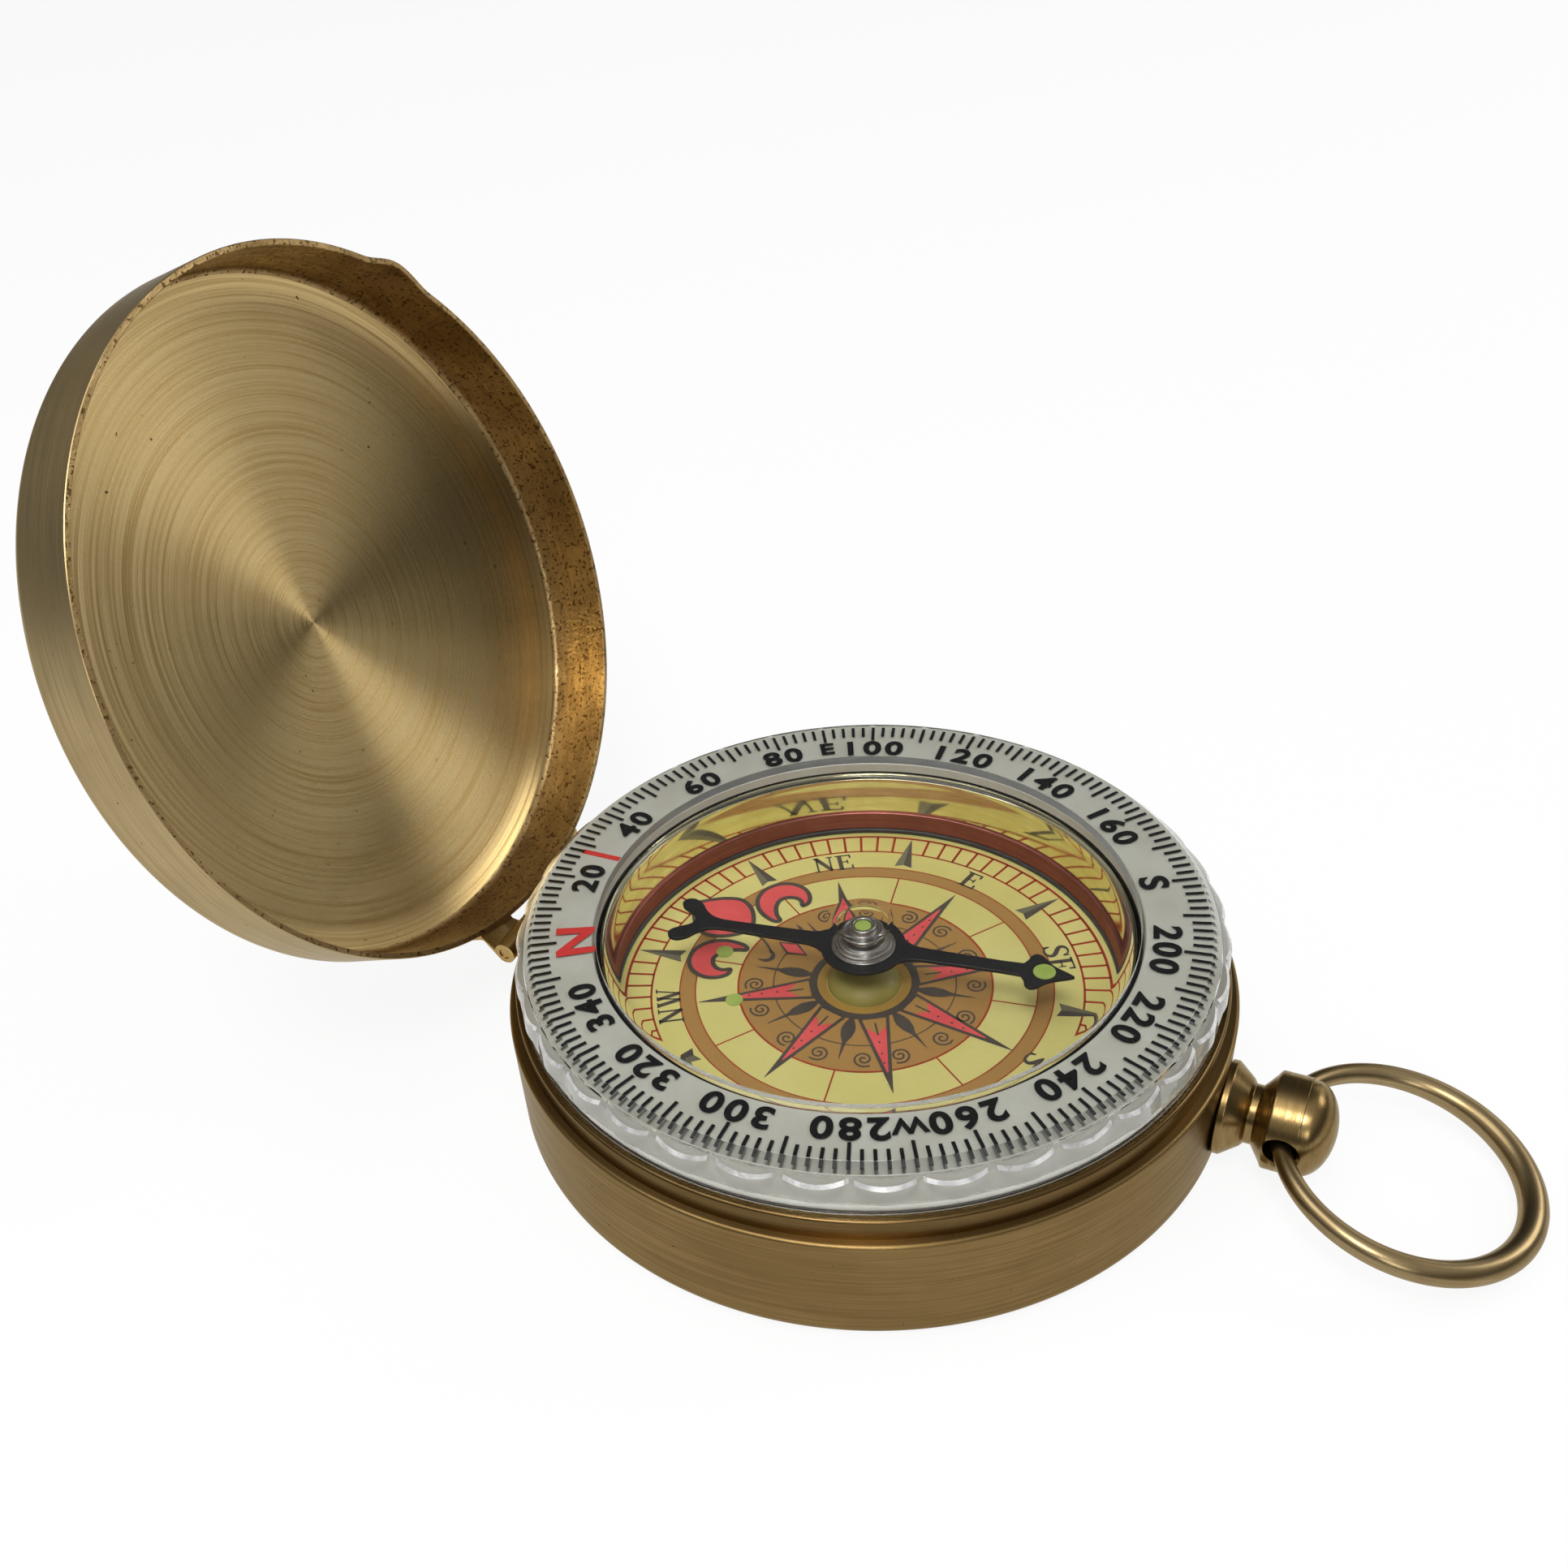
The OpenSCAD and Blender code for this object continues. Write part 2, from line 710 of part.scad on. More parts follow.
// A closed ring whose wire is thicker at its far end, because its two outlines aren't concentric
module bow_ring() {
    side = bow_half - bow_edge;
    inner_mid = bow_in_r + bow_edge;
    outline = concat([[0, -bow_half]], arc(bow_out_r - bow_edge, -side, bow_edge, -90, 0, 5),
        arc(bow_out_r - bow_edge, side, bow_edge, 0, 90, 5), [[0, bow_half]]);
    opening = concat([[0, -bow_half - eps], [inner_mid, -bow_half - eps]],
        arc(inner_mid, -side, bow_edge, 270, 180, 5), arc(inner_mid, side, bow_edge, 180, 90, 5),
        [[inner_mid, bow_half + eps], [0, bow_half + eps]]);
    color(bright_brass)
        translate([bow_x, 0, pendant_z + bow_up])
            rotate([0, bow_slope, 0])
                difference() {
                    translate([bow_out_x, 0, 0])
                        rotate_extrude()
                            polygon(outline);
                    translate([bow_in_x, 0, 0])
                        rotate_extrude()
                            polygon(opening);
                }
}

case_cup();
case_knuckle();
neck_ring();
inner_tray();
capsule_body();
dial_plate();
dial_dots();
dial_gasket();
damping_ring();
reflector_ring();
crystal();
luminous_ring();
index_mark();
bezel_spring();
pivot_boss();
pivot_pin();
pendant();
pendant_nut();
lid_shell();
lid_knuckle_near();
lid_knuckle_far();
hinge_pin();
bezel_ring();
bezel_scale();
needle_blade();
needle_hub();
needle_jewel();
hub_dot();
tip_dot();
bow_ring();
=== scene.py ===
import json
import math
from math import cos, pi, radians, sin

import bmesh
import bpy
from mathutils import Matrix, Vector


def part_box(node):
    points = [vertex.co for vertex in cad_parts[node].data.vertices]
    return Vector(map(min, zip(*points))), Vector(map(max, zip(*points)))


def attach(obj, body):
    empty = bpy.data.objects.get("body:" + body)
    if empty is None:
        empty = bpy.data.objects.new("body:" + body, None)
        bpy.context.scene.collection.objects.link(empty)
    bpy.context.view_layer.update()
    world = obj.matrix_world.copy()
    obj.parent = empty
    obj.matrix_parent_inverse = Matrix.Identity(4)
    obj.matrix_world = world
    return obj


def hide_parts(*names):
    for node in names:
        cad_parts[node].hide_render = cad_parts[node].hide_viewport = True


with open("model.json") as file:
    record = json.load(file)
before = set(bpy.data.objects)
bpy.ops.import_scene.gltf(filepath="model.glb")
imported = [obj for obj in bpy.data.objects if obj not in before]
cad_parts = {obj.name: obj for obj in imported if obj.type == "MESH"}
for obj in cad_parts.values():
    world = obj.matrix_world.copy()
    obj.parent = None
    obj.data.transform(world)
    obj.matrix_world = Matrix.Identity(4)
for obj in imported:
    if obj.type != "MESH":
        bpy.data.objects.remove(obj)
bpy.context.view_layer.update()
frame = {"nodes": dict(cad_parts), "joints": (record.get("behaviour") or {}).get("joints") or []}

# A pocket compass in a brass hunter case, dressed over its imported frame.
# Everything below is in millimetres until it becomes a mesh.
mm = 0.001
scene = bpy.context.scene
cadNodes = frame["nodes"]
joints = {joint["name"]: joint for joint in frame["joints"]}


# Lowest and highest corner of a frame node, in millimetres
def reach(node):
    low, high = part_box(node)
    return Vector(low) / mm, Vector(high) / mm


def tint(red, green, blue):
    return tuple(pow(part / 255, 2.2) for part in (red, green, blue))


def onCircle(r, a):
    return r * cos(a), r * sin(a)


def spin(degrees, axis):
    return Matrix.Rotation(radians(degrees), 4, axis)


# Camera
view = {
    "place": (33.02, -78.83, 83.9),
    "aim": (-21.71, 9.86, 0.0),
    "roll": -6.95,
    "lens": 37.05,
    "sensor": 36.0,
    "shift": (0.0756, 0.0783),
}


def setCamera():
    lensData = bpy.data.cameras.new("camera")
    lensData.lens = view["lens"]
    lensData.sensor_width = view["sensor"]
    lensData.shift_x, lensData.shift_y = view["shift"]
    lensData.clip_start = 1 * mm
    camera = bpy.data.objects.new("camera", lensData)
    scene.collection.objects.link(camera)
    sight = Vector(view["aim"]) - Vector(view["place"])
    turn = sight.to_track_quat("-Z", "Y").to_matrix().to_4x4()
    camera.matrix_world = Matrix.Translation(Vector(view["place"]) * mm) @ turn @ spin(view["roll"], "Z")
    scene.camera = camera


setCamera()
print("camera set")


# A shape is plain lists of points and faces, and the finish number of each face
def newShape():
    return {"points": [], "faces": [], "zones": []}


def addFace(shape, corners, zone=0):
    shape["faces"].append(list(corners))
    shape["zones"].append(zone)


# Rounds an outline whose corners are (x, y) or (x, y, radius)
def roundCorners(corners, steps=4):
    hold = 0.12  # A short face beside each bend, as a share of its radius, keeps the flats flat
    outline = []
    for i, corner in enumerate(corners):
        point = Vector(corner[:2])
        radius = corner[2] if len(corner) > 2 else 0
        if radius == 0:
            outline.append(tuple(point))
            continue
        before = (Vector(corners[i - 1][:2]) - point).normalized()
        after = (Vector(corners[(i + 1) % len(corners)][:2]) - point).normalized()
        half = before.angle(after) / 2
        start = point + before * radius / math.tan(half)
        end = point + after * radius / math.tan(half)
        centre = point + (before + after).normalized() * radius / sin(half)
        first = math.atan2(start.y - centre.y, start.x - centre.x)
        last = math.atan2(end.y - centre.y, end.x - centre.x)
        sweep = (last - first + pi) % (2 * pi) - pi
        outline.append(tuple(start + before * radius * hold))
        for k in range(steps + 1):
            a = first + sweep * k / steps
            outline.append((centre.x + radius * cos(a), centre.y + radius * sin(a)))
        outline.append(tuple(end + after * radius * hold))
    return outline


# A smooth curve through given points
def smoothPath(points, steps=6, closed=True):
    path = []
    count = len(points)
    spans = count if closed else count - 1
    for i in range(spans):
        near = []
        for k in (-1, 0, 1, 2):
            at = (i + k) % count if closed else min(max(i + k, 0), count - 1)
            near.append(Vector(points[at]))
        a, b, c, d = near
        for s in range(steps):
            t = s / steps
            bend = (2 * a - 5 * b + 4 * c - d) * t * t + (3 * b - a - 3 * c + d) * t ** 3
            path.append(tuple((2 * b + (c - a) * t + bend) / 2))
    if not closed:
        path.append(tuple(points[-1]))
    return path


# Turns a profile of (radius, height) about Z; push moves the wall in or out by angle
def lathe(profile, steps=240, zones=None, push=None):
    shape = newShape()
    rings = []
    for r, z in profile:
        start = len(shape["points"])
        if r < 1e-6:
            shape["points"].append((0, 0, z))
            rings.append([start])
            continue
        for i in range(steps):
            a = 2 * pi * i / steps
            q = r + (push(a, r, z) if push else 0)
            shape["points"].append((*onCircle(q, a), z))
        rings.append(list(range(start, start + steps)))
    joinRings(shape, rings, len(rings[0]) > 1, zones)
    return shape


def joinRings(shape, rings, closed, zones=None):
    spans = len(rings) if closed else len(rings) - 1
    for k in range(spans):
        low, high = rings[k], rings[(k + 1) % len(rings)]
        zone = zones[k] if zones else 0
        steps = max(len(low), len(high))
        if steps == 1:
            continue
        for i in range(steps):
            j = (i + 1) % steps
            if len(low) == 1:
                addFace(shape, (low[0], high[j], high[i]), zone)
            elif len(high) == 1:
                addFace(shape, (low[i], low[j], high[0]), zone)
            else:
                addFace(shape, (low[i], low[j], high[j], high[i]), zone)


# A flat outline, thick from low to high
def addPrism(shape, outline, low, high):
    start = len(shape["points"])
    count = len(outline)
    shape["points"] += [(p[0], p[1], low) for p in outline]
    shape["points"] += [(p[0], p[1], high) for p in outline]
    addFace(shape, range(start + count - 1, start - 1, -1))
    addFace(shape, range(start + count, start + 2 * count))
    for i in range(count):
        j = (i + 1) % count
        addFace(shape, (start + i, start + j, start + count + j, start + count + i))


# A stroke of ink along a path; width is a number or a function from 0 at its start to 1
def addStroke(shape, path, width, low, high, closed=False):
    start = len(shape["points"])
    count = len(path)
    for i, point in enumerate(path):
        before = path[i - 1] if i or closed else point
        after = path[(i + 1) % count] if i < count - 1 or closed else point
        along = (Vector(after) - Vector(before)).normalized()
        half = (width(i / (count - 1)) if callable(width) else width) / 2
        side = Vector((-along.y, along.x)) * half
        left, right = Vector(point) + side, Vector(point) - side
        for edge, z in ((left, low), (right, low), (right, high), (left, high)):
            shape["points"].append((edge.x, edge.y, z))
    for i in range(count if closed else count - 1):
        a, b = start + 4 * i, start + 4 * ((i + 1) % count)
        for k in range(4):
            m = (k + 1) % 4
            addFace(shape, (a + k, a + m, b + m, b + k))
    if not closed:
        end = start + 4 * (count - 1)
        addFace(shape, (start + 3, start + 2, start + 1, start))
        addFace(shape, (end, end + 1, end + 2, end + 3))


def ringPath(r):
    return [onCircle(r, radians(2 * i)) for i in range(180)]


# A tube along a closed path with a radius for each of its points; up stands square to the path
def closedTube(path, radii, up):
    shape = newShape()
    sides = 32
    rings = []
    count = len(path)
    for i, point in enumerate(path):
        along = (path[(i + 1) % count] - path[i - 1]).normalized()
        side = along.cross(up).normalized()
        start = len(shape["points"])
        for k in range(sides):
            a = 2 * pi * k / sides
            spot = point + radii[i] * (side * cos(a) + up * sin(a))
            shape["points"].append(tuple(spot))
        rings.append(list(range(start, start + sides)))
    joinRings(shape, rings, True)
    return shape


def moveShape(shape, matrix):
    shape["points"] = [tuple(matrix @ Vector(point)) for point in shape["points"]]
    return shape


# Edges bent by more than the sharp angle show as creases
def creaseEdges(work, sharp):
    for edge in work.edges:
        edge.smooth = edge.calc_face_angle(pi) < radians(sharp)


def buildMesh(name, shape, sharp=32):
    mesh = bpy.data.meshes.new(name)
    work = bmesh.new()
    corners = [work.verts.new(Vector(point) * mm) for point in shape["points"]]
    for face, zone in zip(shape["faces"], shape["zones"]):
        made = work.faces.new([corners[i] for i in face])
        made.material_index = zone
        made.smooth = True
    bmesh.ops.recalc_face_normals(work, faces=work.faces)
    creaseEdges(work, sharp)
    work.to_mesh(mesh)
    work.free()
    return mesh


# Puts a piece in the scene on its body, in place of the frame nodes that it stands for
def addPiece(name, shape, finishes, body, nodes=(), sharp=32):
    piece = bpy.data.objects.new(name, buildMesh(name, shape, sharp))
    scene.collection.objects.link(piece)
    for finish in finishes if isinstance(finishes, (list, tuple)) else [finishes]:
        piece.data.materials.append(finish)
    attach(piece, body)
    if nodes:
        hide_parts(*nodes)
    return piece


def evaluatedMesh(piece):
    bpy.context.view_layer.update()
    return bpy.data.meshes.new_from_object(piece.evaluated_get(bpy.context.evaluated_depsgraph_get()))


weldGap = 0.0005  # Corners this close are welded after a cut


# Cuts a plain shape out of a piece and keeps the result as its mesh
def cutAway(piece, shape, sharp=32):
    cutter = bpy.data.objects.new("cutter", buildMesh("cutter", shape))
    scene.collection.objects.link(cutter)
    trim = piece.modifiers.new("trim", "BOOLEAN")
    trim.operation = "DIFFERENCE"
    trim.solver = "EXACT"
    trim.object = cutter
    made = evaluatedMesh(piece)
    piece.modifiers.clear()
    piece.data = made
    bpy.data.objects.remove(cutter)
    work = bmesh.new()
    work.from_mesh(made)
    bmesh.ops.remove_doubles(work, verts=work.verts, dist=weldGap * mm)
    bmesh.ops.dissolve_degenerate(work, edges=work.edges, dist=weldGap * mm)
    creaseEdges(work, sharp)
    work.to_mesh(made)
    work.free()


def bar(r, start, end):
    return lathe([(0, start), (r, start), (r, end), (0, end)], 48)


def cuboid(low, high):
    shape = newShape()
    outline = [(low[0], low[1]), (high[0], low[1]), (high[0], high[1]), (low[0], high[1])]
    addPrism(shape, outline, low[2], high[2])
    return shape


# Finishes
def newFinish(name, colour, **sockets):
    finish = bpy.data.materials.new(name)
    finish.use_nodes = True
    shader = finish.node_tree.nodes["Principled BSDF"]
    shader.inputs["Base Color"].default_value = (*colour, 1)
    for words, value in sockets.items():
        shader.inputs[words.replace("_", " ")].default_value = value
    return finish, shader


def addNode(finish, kind, inputs=None, **settings):
    node = finish.node_tree.nodes.new("ShaderNode" + kind)
    for name, value in settings.items():
        setattr(node, name, value)
    for name, value in (inputs or {}).items():
        socket = node.inputs[name]
        if isinstance(value, bpy.types.NodeSocket):
            finish.node_tree.links.new(value, socket)
        else:
            socket.default_value = value
    return node


def link(finish, output, socket):
    finish.node_tree.links.new(output, socket)


def calculate(finish, operation, *values):
    return addNode(finish, "Math", dict(enumerate(values)), operation=operation).outputs[0]


def combineVectors(finish, operation, *values):
    return addNode(finish, "VectorMath", dict(enumerate(values)), operation=operation).outputs[0]


def noise(finish, coords, scale, detail, rough=0.5):
    return addNode(finish, "TexNoise", {"Vector": coords, "Scale": scale, "Detail": detail,
                                        "Roughness": rough}).outputs[0]


# A bump whose height is measured in millimetres
def addBump(finish, shader, height, strength, distance):
    bump = addNode(finish, "Bump", {"Height": height, "Strength": strength, "Distance": distance * mm})
    link(finish, bump.outputs[0], shader.inputs["Normal"])


def blendColours(finish, factor, first, second):
    mix = addNode(finish, "Mix", data_type="RGBA")
    for index, value in ((0, factor), (6, first), (7, second)):
        if isinstance(value, bpy.types.NodeSocket):
            link(finish, value, mix.inputs[index])
        elif index:
            mix.inputs[index].default_value = (*value, 1)
        else:
            mix.inputs[index].default_value = value
    return mix.outputs[2]


def spread(finish, value, low, high, newLow=0.0, newHigh=1.0):
    names = {"From Min": low, "From Max": high, "To Min": newLow, "To Max": newHigh}
    return addNode(finish, "MapRange", {"Value": value, **names}).outputs[0]


# Coordinates with the turning axis as Z and the centre of the work at zero
def workCoords(finish, place):
    coords = addNode(finish, "TexCoord").outputs["Object"]
    back = place.inverted()
    return addNode(finish, "Mapping", {"Vector": coords, "Location": back.to_translation() * mm,
                                       "Rotation": back.to_euler()}).outputs[0]


# Unit direction from the turning axis outwards, and the distance from the axis
def awayFromAxis(finish, coords):
    flat = combineVectors(finish, "MULTIPLY", coords, (1, 1, 0))
    away = combineVectors(finish, "NORMALIZE", flat)
    distance = addNode(finish, "VectorMath", {0: flat}, operation="LENGTH").outputs["Value"]
    return away, distance


# Turning marks run round the axis, so a highlight spreads along the profile
def turnedTangent(finish, shader, away, place):
    parts = addNode(finish, "SeparateXYZ", {0: away}).outputs
    back = calculate(finish, "MULTIPLY", parts[1], -1.0)
    around = addNode(finish, "CombineXYZ", {0: back, 1: parts[0]}).outputs[0]
    local = addNode(finish, "Mapping", {"Vector": around, "Rotation": place.to_euler()},
                    vector_type="VECTOR").outputs[0]
    turned = addNode(finish, "VectorTransform", {0: local}, vector_type="VECTOR",
                     convert_from="OBJECT", convert_to="WORLD").outputs[0]
    normal = addNode(finish, "NewGeometry").outputs["Normal"]
    link(finish, combineVectors(finish, "CROSS_PRODUCT", normal, turned), shader.inputs["Tangent"])


metalMarks = {
    "edgeTint": 0.16, "streaks": (0.35, 0.68), "clouds": (0.42, 0.62), "speckEdge": 0.05,
    "rough": (0.3, 0.7), "dull": 1.25, "bright": 0.8, "depth": 0.02,
}


# Metal that was turned, spun or brushed round an axis; place takes Z and zero to that axis
def turnedMetal(name, look, place=Matrix()):
    m = metalMarks
    finish, shader = newFinish(name, look["light"], Metallic=1.0, Roughness=look["rough"],
                               Anisotropic=look["brushed"])
    edge = [pow(part, m["edgeTint"]) for part in look["light"]]
    shader.inputs["Specular Tint"].default_value = (*edge, 1)
    coords = workCoords(finish, place)
    away, distance = awayFromAxis(finish, coords)
    turnedTangent(finish, shader, away, place)
    height = addNode(finish, "SeparateXYZ", {0: coords}).outputs[2]
    along = calculate(finish, "ADD", distance, height)
    lineAt = calculate(finish, "MULTIPLY", along, look["lines"] / mm)
    lift = addNode(finish, "CombineXYZ", {2: lineAt}).outputs[0]
    arcs = combineVectors(finish, "MULTIPLY", away, (look["arcs"],) * 3)
    track = combineVectors(finish, "ADD", arcs, lift)
    scratches = noise(finish, track, 1.0, 4.0, 0.7)
    clouds = noise(finish, coords, look["clouds"] / mm, 3.0)
    grain = noise(finish, coords, look["grain"] / mm, 2.0)
    colour = blendColours(finish, spread(finish, scratches, *m["streaks"]), look["dark"], look["light"])
    cloud = spread(finish, clouds, *m["clouds"], 0.0, look["cloudy"])
    colour = blendColours(finish, cloud, colour, look["cloud"])
    speck = spread(finish, grain, look["speckFrom"], look["speckFrom"] + m["speckEdge"])
    colour = blendColours(finish, speck, colour, look["speck"])
    link(finish, colour, shader.inputs["Base Color"])
    rough = spread(finish, scratches, *m["rough"], look["rough"] * m["dull"], look["rough"] * m["bright"])
    link(finish, rough, shader.inputs["Roughness"])
    marks = calculate(finish, "MULTIPLY", scratches, look["grit"])
    pits = calculate(finish, "MULTIPLY_ADD", grain, look["pits"], marks)
    addBump(finish, shader, pits, look["bump"], m["depth"])
    return finish


# Clear plastic: light falls through it on to what lies below
def clearPlastic(name, look):
    finish, shader = newFinish(name, look["colour"], Roughness=look["rough"], IOR=look["ior"],
                               Transmission_Weight=1.0)
    coords = addNode(finish, "TexCoord").outputs["Object"]
    waves = noise(finish, coords, look["waves"] / mm, 2.0)
    scuffs = noise(finish, coords, look["scuffs"] / mm, 5.0, 0.7)
    scuffed = spread(finish, scuffs, 0.5, 0.75, look["rough"], look["rough"] + look["worn"])
    link(finish, scuffed, shader.inputs["Roughness"])
    addBump(finish, shader, waves, look["bump"], 0.05)
    path = addNode(finish, "LightPath").outputs
    through = calculate(finish, "MAXIMUM", path["Is Shadow Ray"], path["Is Diffuse Ray"])
    veil = addNode(finish, "BsdfTransparent", {"Color": (*look["veil"], 1)}).outputs[0]
    mix = addNode(finish, "MixShader", {0: through, 1: shader.outputs[0], 2: veil})
    output = finish.node_tree.nodes["Material Output"]
    link(finish, mix.outputs[0], output.inputs["Surface"])
    return finish


# Opaque plastic, paint, ink or lacquer with a fine grain and slow clouds of colour
def solidFinish(name, look):
    finish, shader = newFinish(name, look["colour"], Roughness=look["rough"],
                               Metallic=look.get("metal", 0.0), Coat_Weight=look.get("coat", 0.0),
                               Coat_Roughness=look.get("coatRough", 0.1),
                               Emission_Strength=look.get("glow", 0.0),
                               Specular_IOR_Level=look.get("shine", 0.5))
    shader.inputs["Emission Color"].default_value = (*look["colour"], 1)
    coords = addNode(finish, "TexCoord").outputs["Object"]
    clouds = noise(finish, coords, look.get("clouds", 0.3) / mm, 4.0)
    grain = noise(finish, coords, look.get("grain", 9.0) / mm, 3.0)
    fade = spread(finish, clouds, 0.35, 0.7)
    colour = blendColours(finish, fade, look["colour"], look["shade"])
    fleck = spread(finish, grain, 0.55, 0.75, 0.0, look.get("flecks", 0.25))
    colour = blendColours(finish, fleck, colour, look.get("fleck", look["shade"]))
    link(finish, colour, shader.inputs["Base Color"])
    addBump(finish, shader, grain, look.get("bump", 0.1), 0.01)
    return finish


# Printed brown with the engraver's fine hatching
def hatchedInk(name, look):
    finish, shader = newFinish(name, look["colour"], Roughness=look["rough"])
    coords = addNode(finish, "TexCoord").outputs["Object"]
    turned = addNode(finish, "VectorRotate", {"Vector": coords, "Angle": radians(look["angle"])},
                     rotation_type="Z_AXIS").outputs[0]
    lines = addNode(finish, "TexWave", {"Vector": turned, "Scale": look["lines"] / mm, "Distortion": 1.2,
                                        "Detail": 2.0, "Detail Scale": 3.0}).outputs[0]
    dots = noise(finish, coords, look["dots"] / mm, 2.0)
    hatch = calculate(finish, "MULTIPLY", lines, dots)
    colour = blendColours(finish, spread(finish, hatch, 0.1, 0.45), look["colour"], look["gap"])
    link(finish, colour, shader.inputs["Base Color"])
    return finish


caseLook = {
    "light": tint(140, 116, 76), "dark": tint(116, 94, 58), "cloud": tint(106, 84, 52), "cloudy": 0.35,
    "speck": tint(70, 52, 30), "speckFrom": 0.74, "rough": 0.36, "brushed": 0.5, "lines": 7.0, "arcs": 2.4,
    "clouds": 0.12, "grain": 2.4, "grit": 1.0, "pits": 0.3, "bump": 0.2,
}
lidLook = {
    **caseLook, "light": tint(184, 163, 122), "dark": tint(165, 144, 102), "cloud": tint(142, 122, 84),
}
plateLook = {
    "light": tint(214, 188, 134), "dark": tint(160, 134, 86), "cloud": tint(186, 160, 108), "cloudy": 0.2,
    "speck": tint(60, 48, 30), "speckFrom": 0.74, "rough": 0.25, "brushed": 0.92, "lines": 5.0,
    "arcs": 0.55, "clouds": 0.1, "grain": 1.6, "grit": 1.0, "pits": 0.1, "bump": 0.3,
}
innerWallLook = {
    "light": tint(176, 150, 106), "dark": tint(144, 118, 78), "cloud": tint(120, 96, 62), "cloudy": 0.5,
    "speck": tint(92, 72, 44), "speckFrom": 0.58, "rough": 0.42, "brushed": 0.2, "lines": 2.0, "arcs": 8.0,
    "clouds": 0.3, "grain": 3.4, "grit": 0.4, "pits": 2.2, "bump": 0.8,
}
polishLook = {
    "light": tint(144, 122, 82), "dark": tint(124, 102, 66), "cloud": tint(110, 88, 56), "cloudy": 0.3,
    "speck": tint(80, 60, 34), "speckFrom": 0.75, "rough": 0.27, "brushed": 0.3, "lines": 7.0, "arcs": 1.0,
    "clouds": 0.3, "grain": 3.0, "grit": 0.7, "pits": 0.3, "bump": 0.1,
}
silverLook = {
    "light": (0.3, 0.28, 0.26), "dark": (0.15, 0.14, 0.13), "cloud": (0.2, 0.19, 0.17), "cloudy": 0.3,
    "speck": (0.1, 0.1, 0.1), "speckFrom": 0.75, "rough": 0.38, "brushed": 0.2, "lines": 16.0, "arcs": 1.0,
    "clouds": 0.5, "grain": 5.0, "grit": 0.8, "pits": 0.2, "bump": 0.2,
}
satinBrass = turnedMetal("satinBrass", caseLook)
steelTurned = turnedMetal("steelTurned", {**silverLook, "rough": 0.28})
hubSilver = turnedMetal("hubSilver", {
    **silverLook, "light": tint(222, 218, 214), "rough": 0.3, "brushed": 0.1, "grit": 0.1, "pits": 0.0,
    "bump": 0.03,
})
neckBrass = turnedMetal("neckBrass", {
    **polishLook, "light": tint(116, 95, 62), "dark": tint(98, 78, 50), "cloud": tint(90, 70, 44),
    "rough": 0.26,
})
copperRing = turnedMetal("copperRing", {
    **silverLook, "light": tint(152, 98, 92), "dark": tint(126, 76, 72), "cloud": tint(116, 70, 66),
    "rough": 0.42, "bump": 0.15,
})
mirrorWall = turnedMetal("mirrorWall", {
    **silverLook, "light": tint(238, 230, 192), "dark": tint(216, 206, 166), "cloud": tint(202, 188, 144),
    "rough": 0.07, "brushed": 0.0, "bump": 0.12, "lines": 1.2, "arcs": 2.5,
})
clearBezel = clearPlastic("clearBezel", {
    "colour": (0.95, 0.97, 0.96), "rough": 0.0, "ior": 1.46, "waves": 0.25, "scuffs": 0.8, "worn": 0.03,
    "bump": 0.0, "veil": (0.95, 0.96, 0.95),
})
frostedWall = clearPlastic("frostedWall", {
    "colour": (0.86, 0.86, 0.82), "rough": 0.65, "ior": 1.46, "waves": 0.25, "scuffs": 0.8, "worn": 0.1,
    "bump": 0.0, "veil": (0.95, 0.96, 0.95),
})
# Painted glints: a pale, coated finish that stands in for the lamps' glints on the bezel lobes
paintedLobeGlint = solidFinish("paintedLobeGlint", {
    "colour": (0.72, 0.72, 0.71), "shade": (0.36, 0.36, 0.35), "rough": 0.15, "clouds": 0.9, "grain": 2.0,
    "flecks": 0.9, "fleck": (0.3, 0.3, 0.29), "coat": 0.6, "coatRough": 0.05,
})
clearCrystal = clearPlastic("clearCrystal", {
    "colour": (0.98, 0.99, 0.98), "rough": 0.0, "ior": 1.4, "waves": 0.15, "scuffs": 1.4, "worn": 0.01,
    "bump": 0.0, "veil": (0.97, 0.97, 0.96),
})
greyLume = solidFinish("greyLume", {
    "colour": tint(186, 183, 174), "shade": tint(174, 170, 159), "rough": 0.45, "flecks": 0.3,
    "fleck": tint(160, 156, 144), "coat": 0.2, "coatRough": 0.2,
})
greenLume = solidFinish("greenLume", {
    "colour": tint(158, 176, 88), "shade": tint(132, 152, 68), "rough": 0.6, "grain": 14.0, "bump": 0.4,
    "flecks": 0.5, "fleck": tint(184, 198, 120),
})
bossPlastic = solidFinish("bossPlastic", {
    "colour": tint(150, 140, 76), "shade": tint(130, 118, 60), "rough": 0.5, "shine": 0.3, "coat": 0.06,
    "coatRough": 0.3,
})
blackPlastic = solidFinish("blackPlastic", {
    "colour": (0.02, 0.02, 0.022), "shade": (0.03, 0.03, 0.03), "rough": 0.5, "flecks": 0.3,
    "fleck": (0.05, 0.05, 0.05),
})
whitePlastic = solidFinish("whitePlastic", {
    "colour": tint(206, 204, 196), "shade": tint(190, 186, 176), "rough": 0.35, "coat": 0.2,
})
blackEnamel = solidFinish("blackEnamel", {
    "colour": (0.005, 0.005, 0.006), "shade": (0.009, 0.009, 0.01), "rough": 0.42, "shine": 0.25,
    "grain": 12.0, "bump": 0.5, "flecks": 0.5, "fleck": (0.03, 0.03, 0.034), "coat": 0.12, "coatRough": 0.3,
})
jewelRed = solidFinish("jewelRed", {
    "colour": (0.5, 0.04, 0.09), "shade": (0.4, 0.03, 0.08), "rough": 0.1, "coat": 0.8,
})
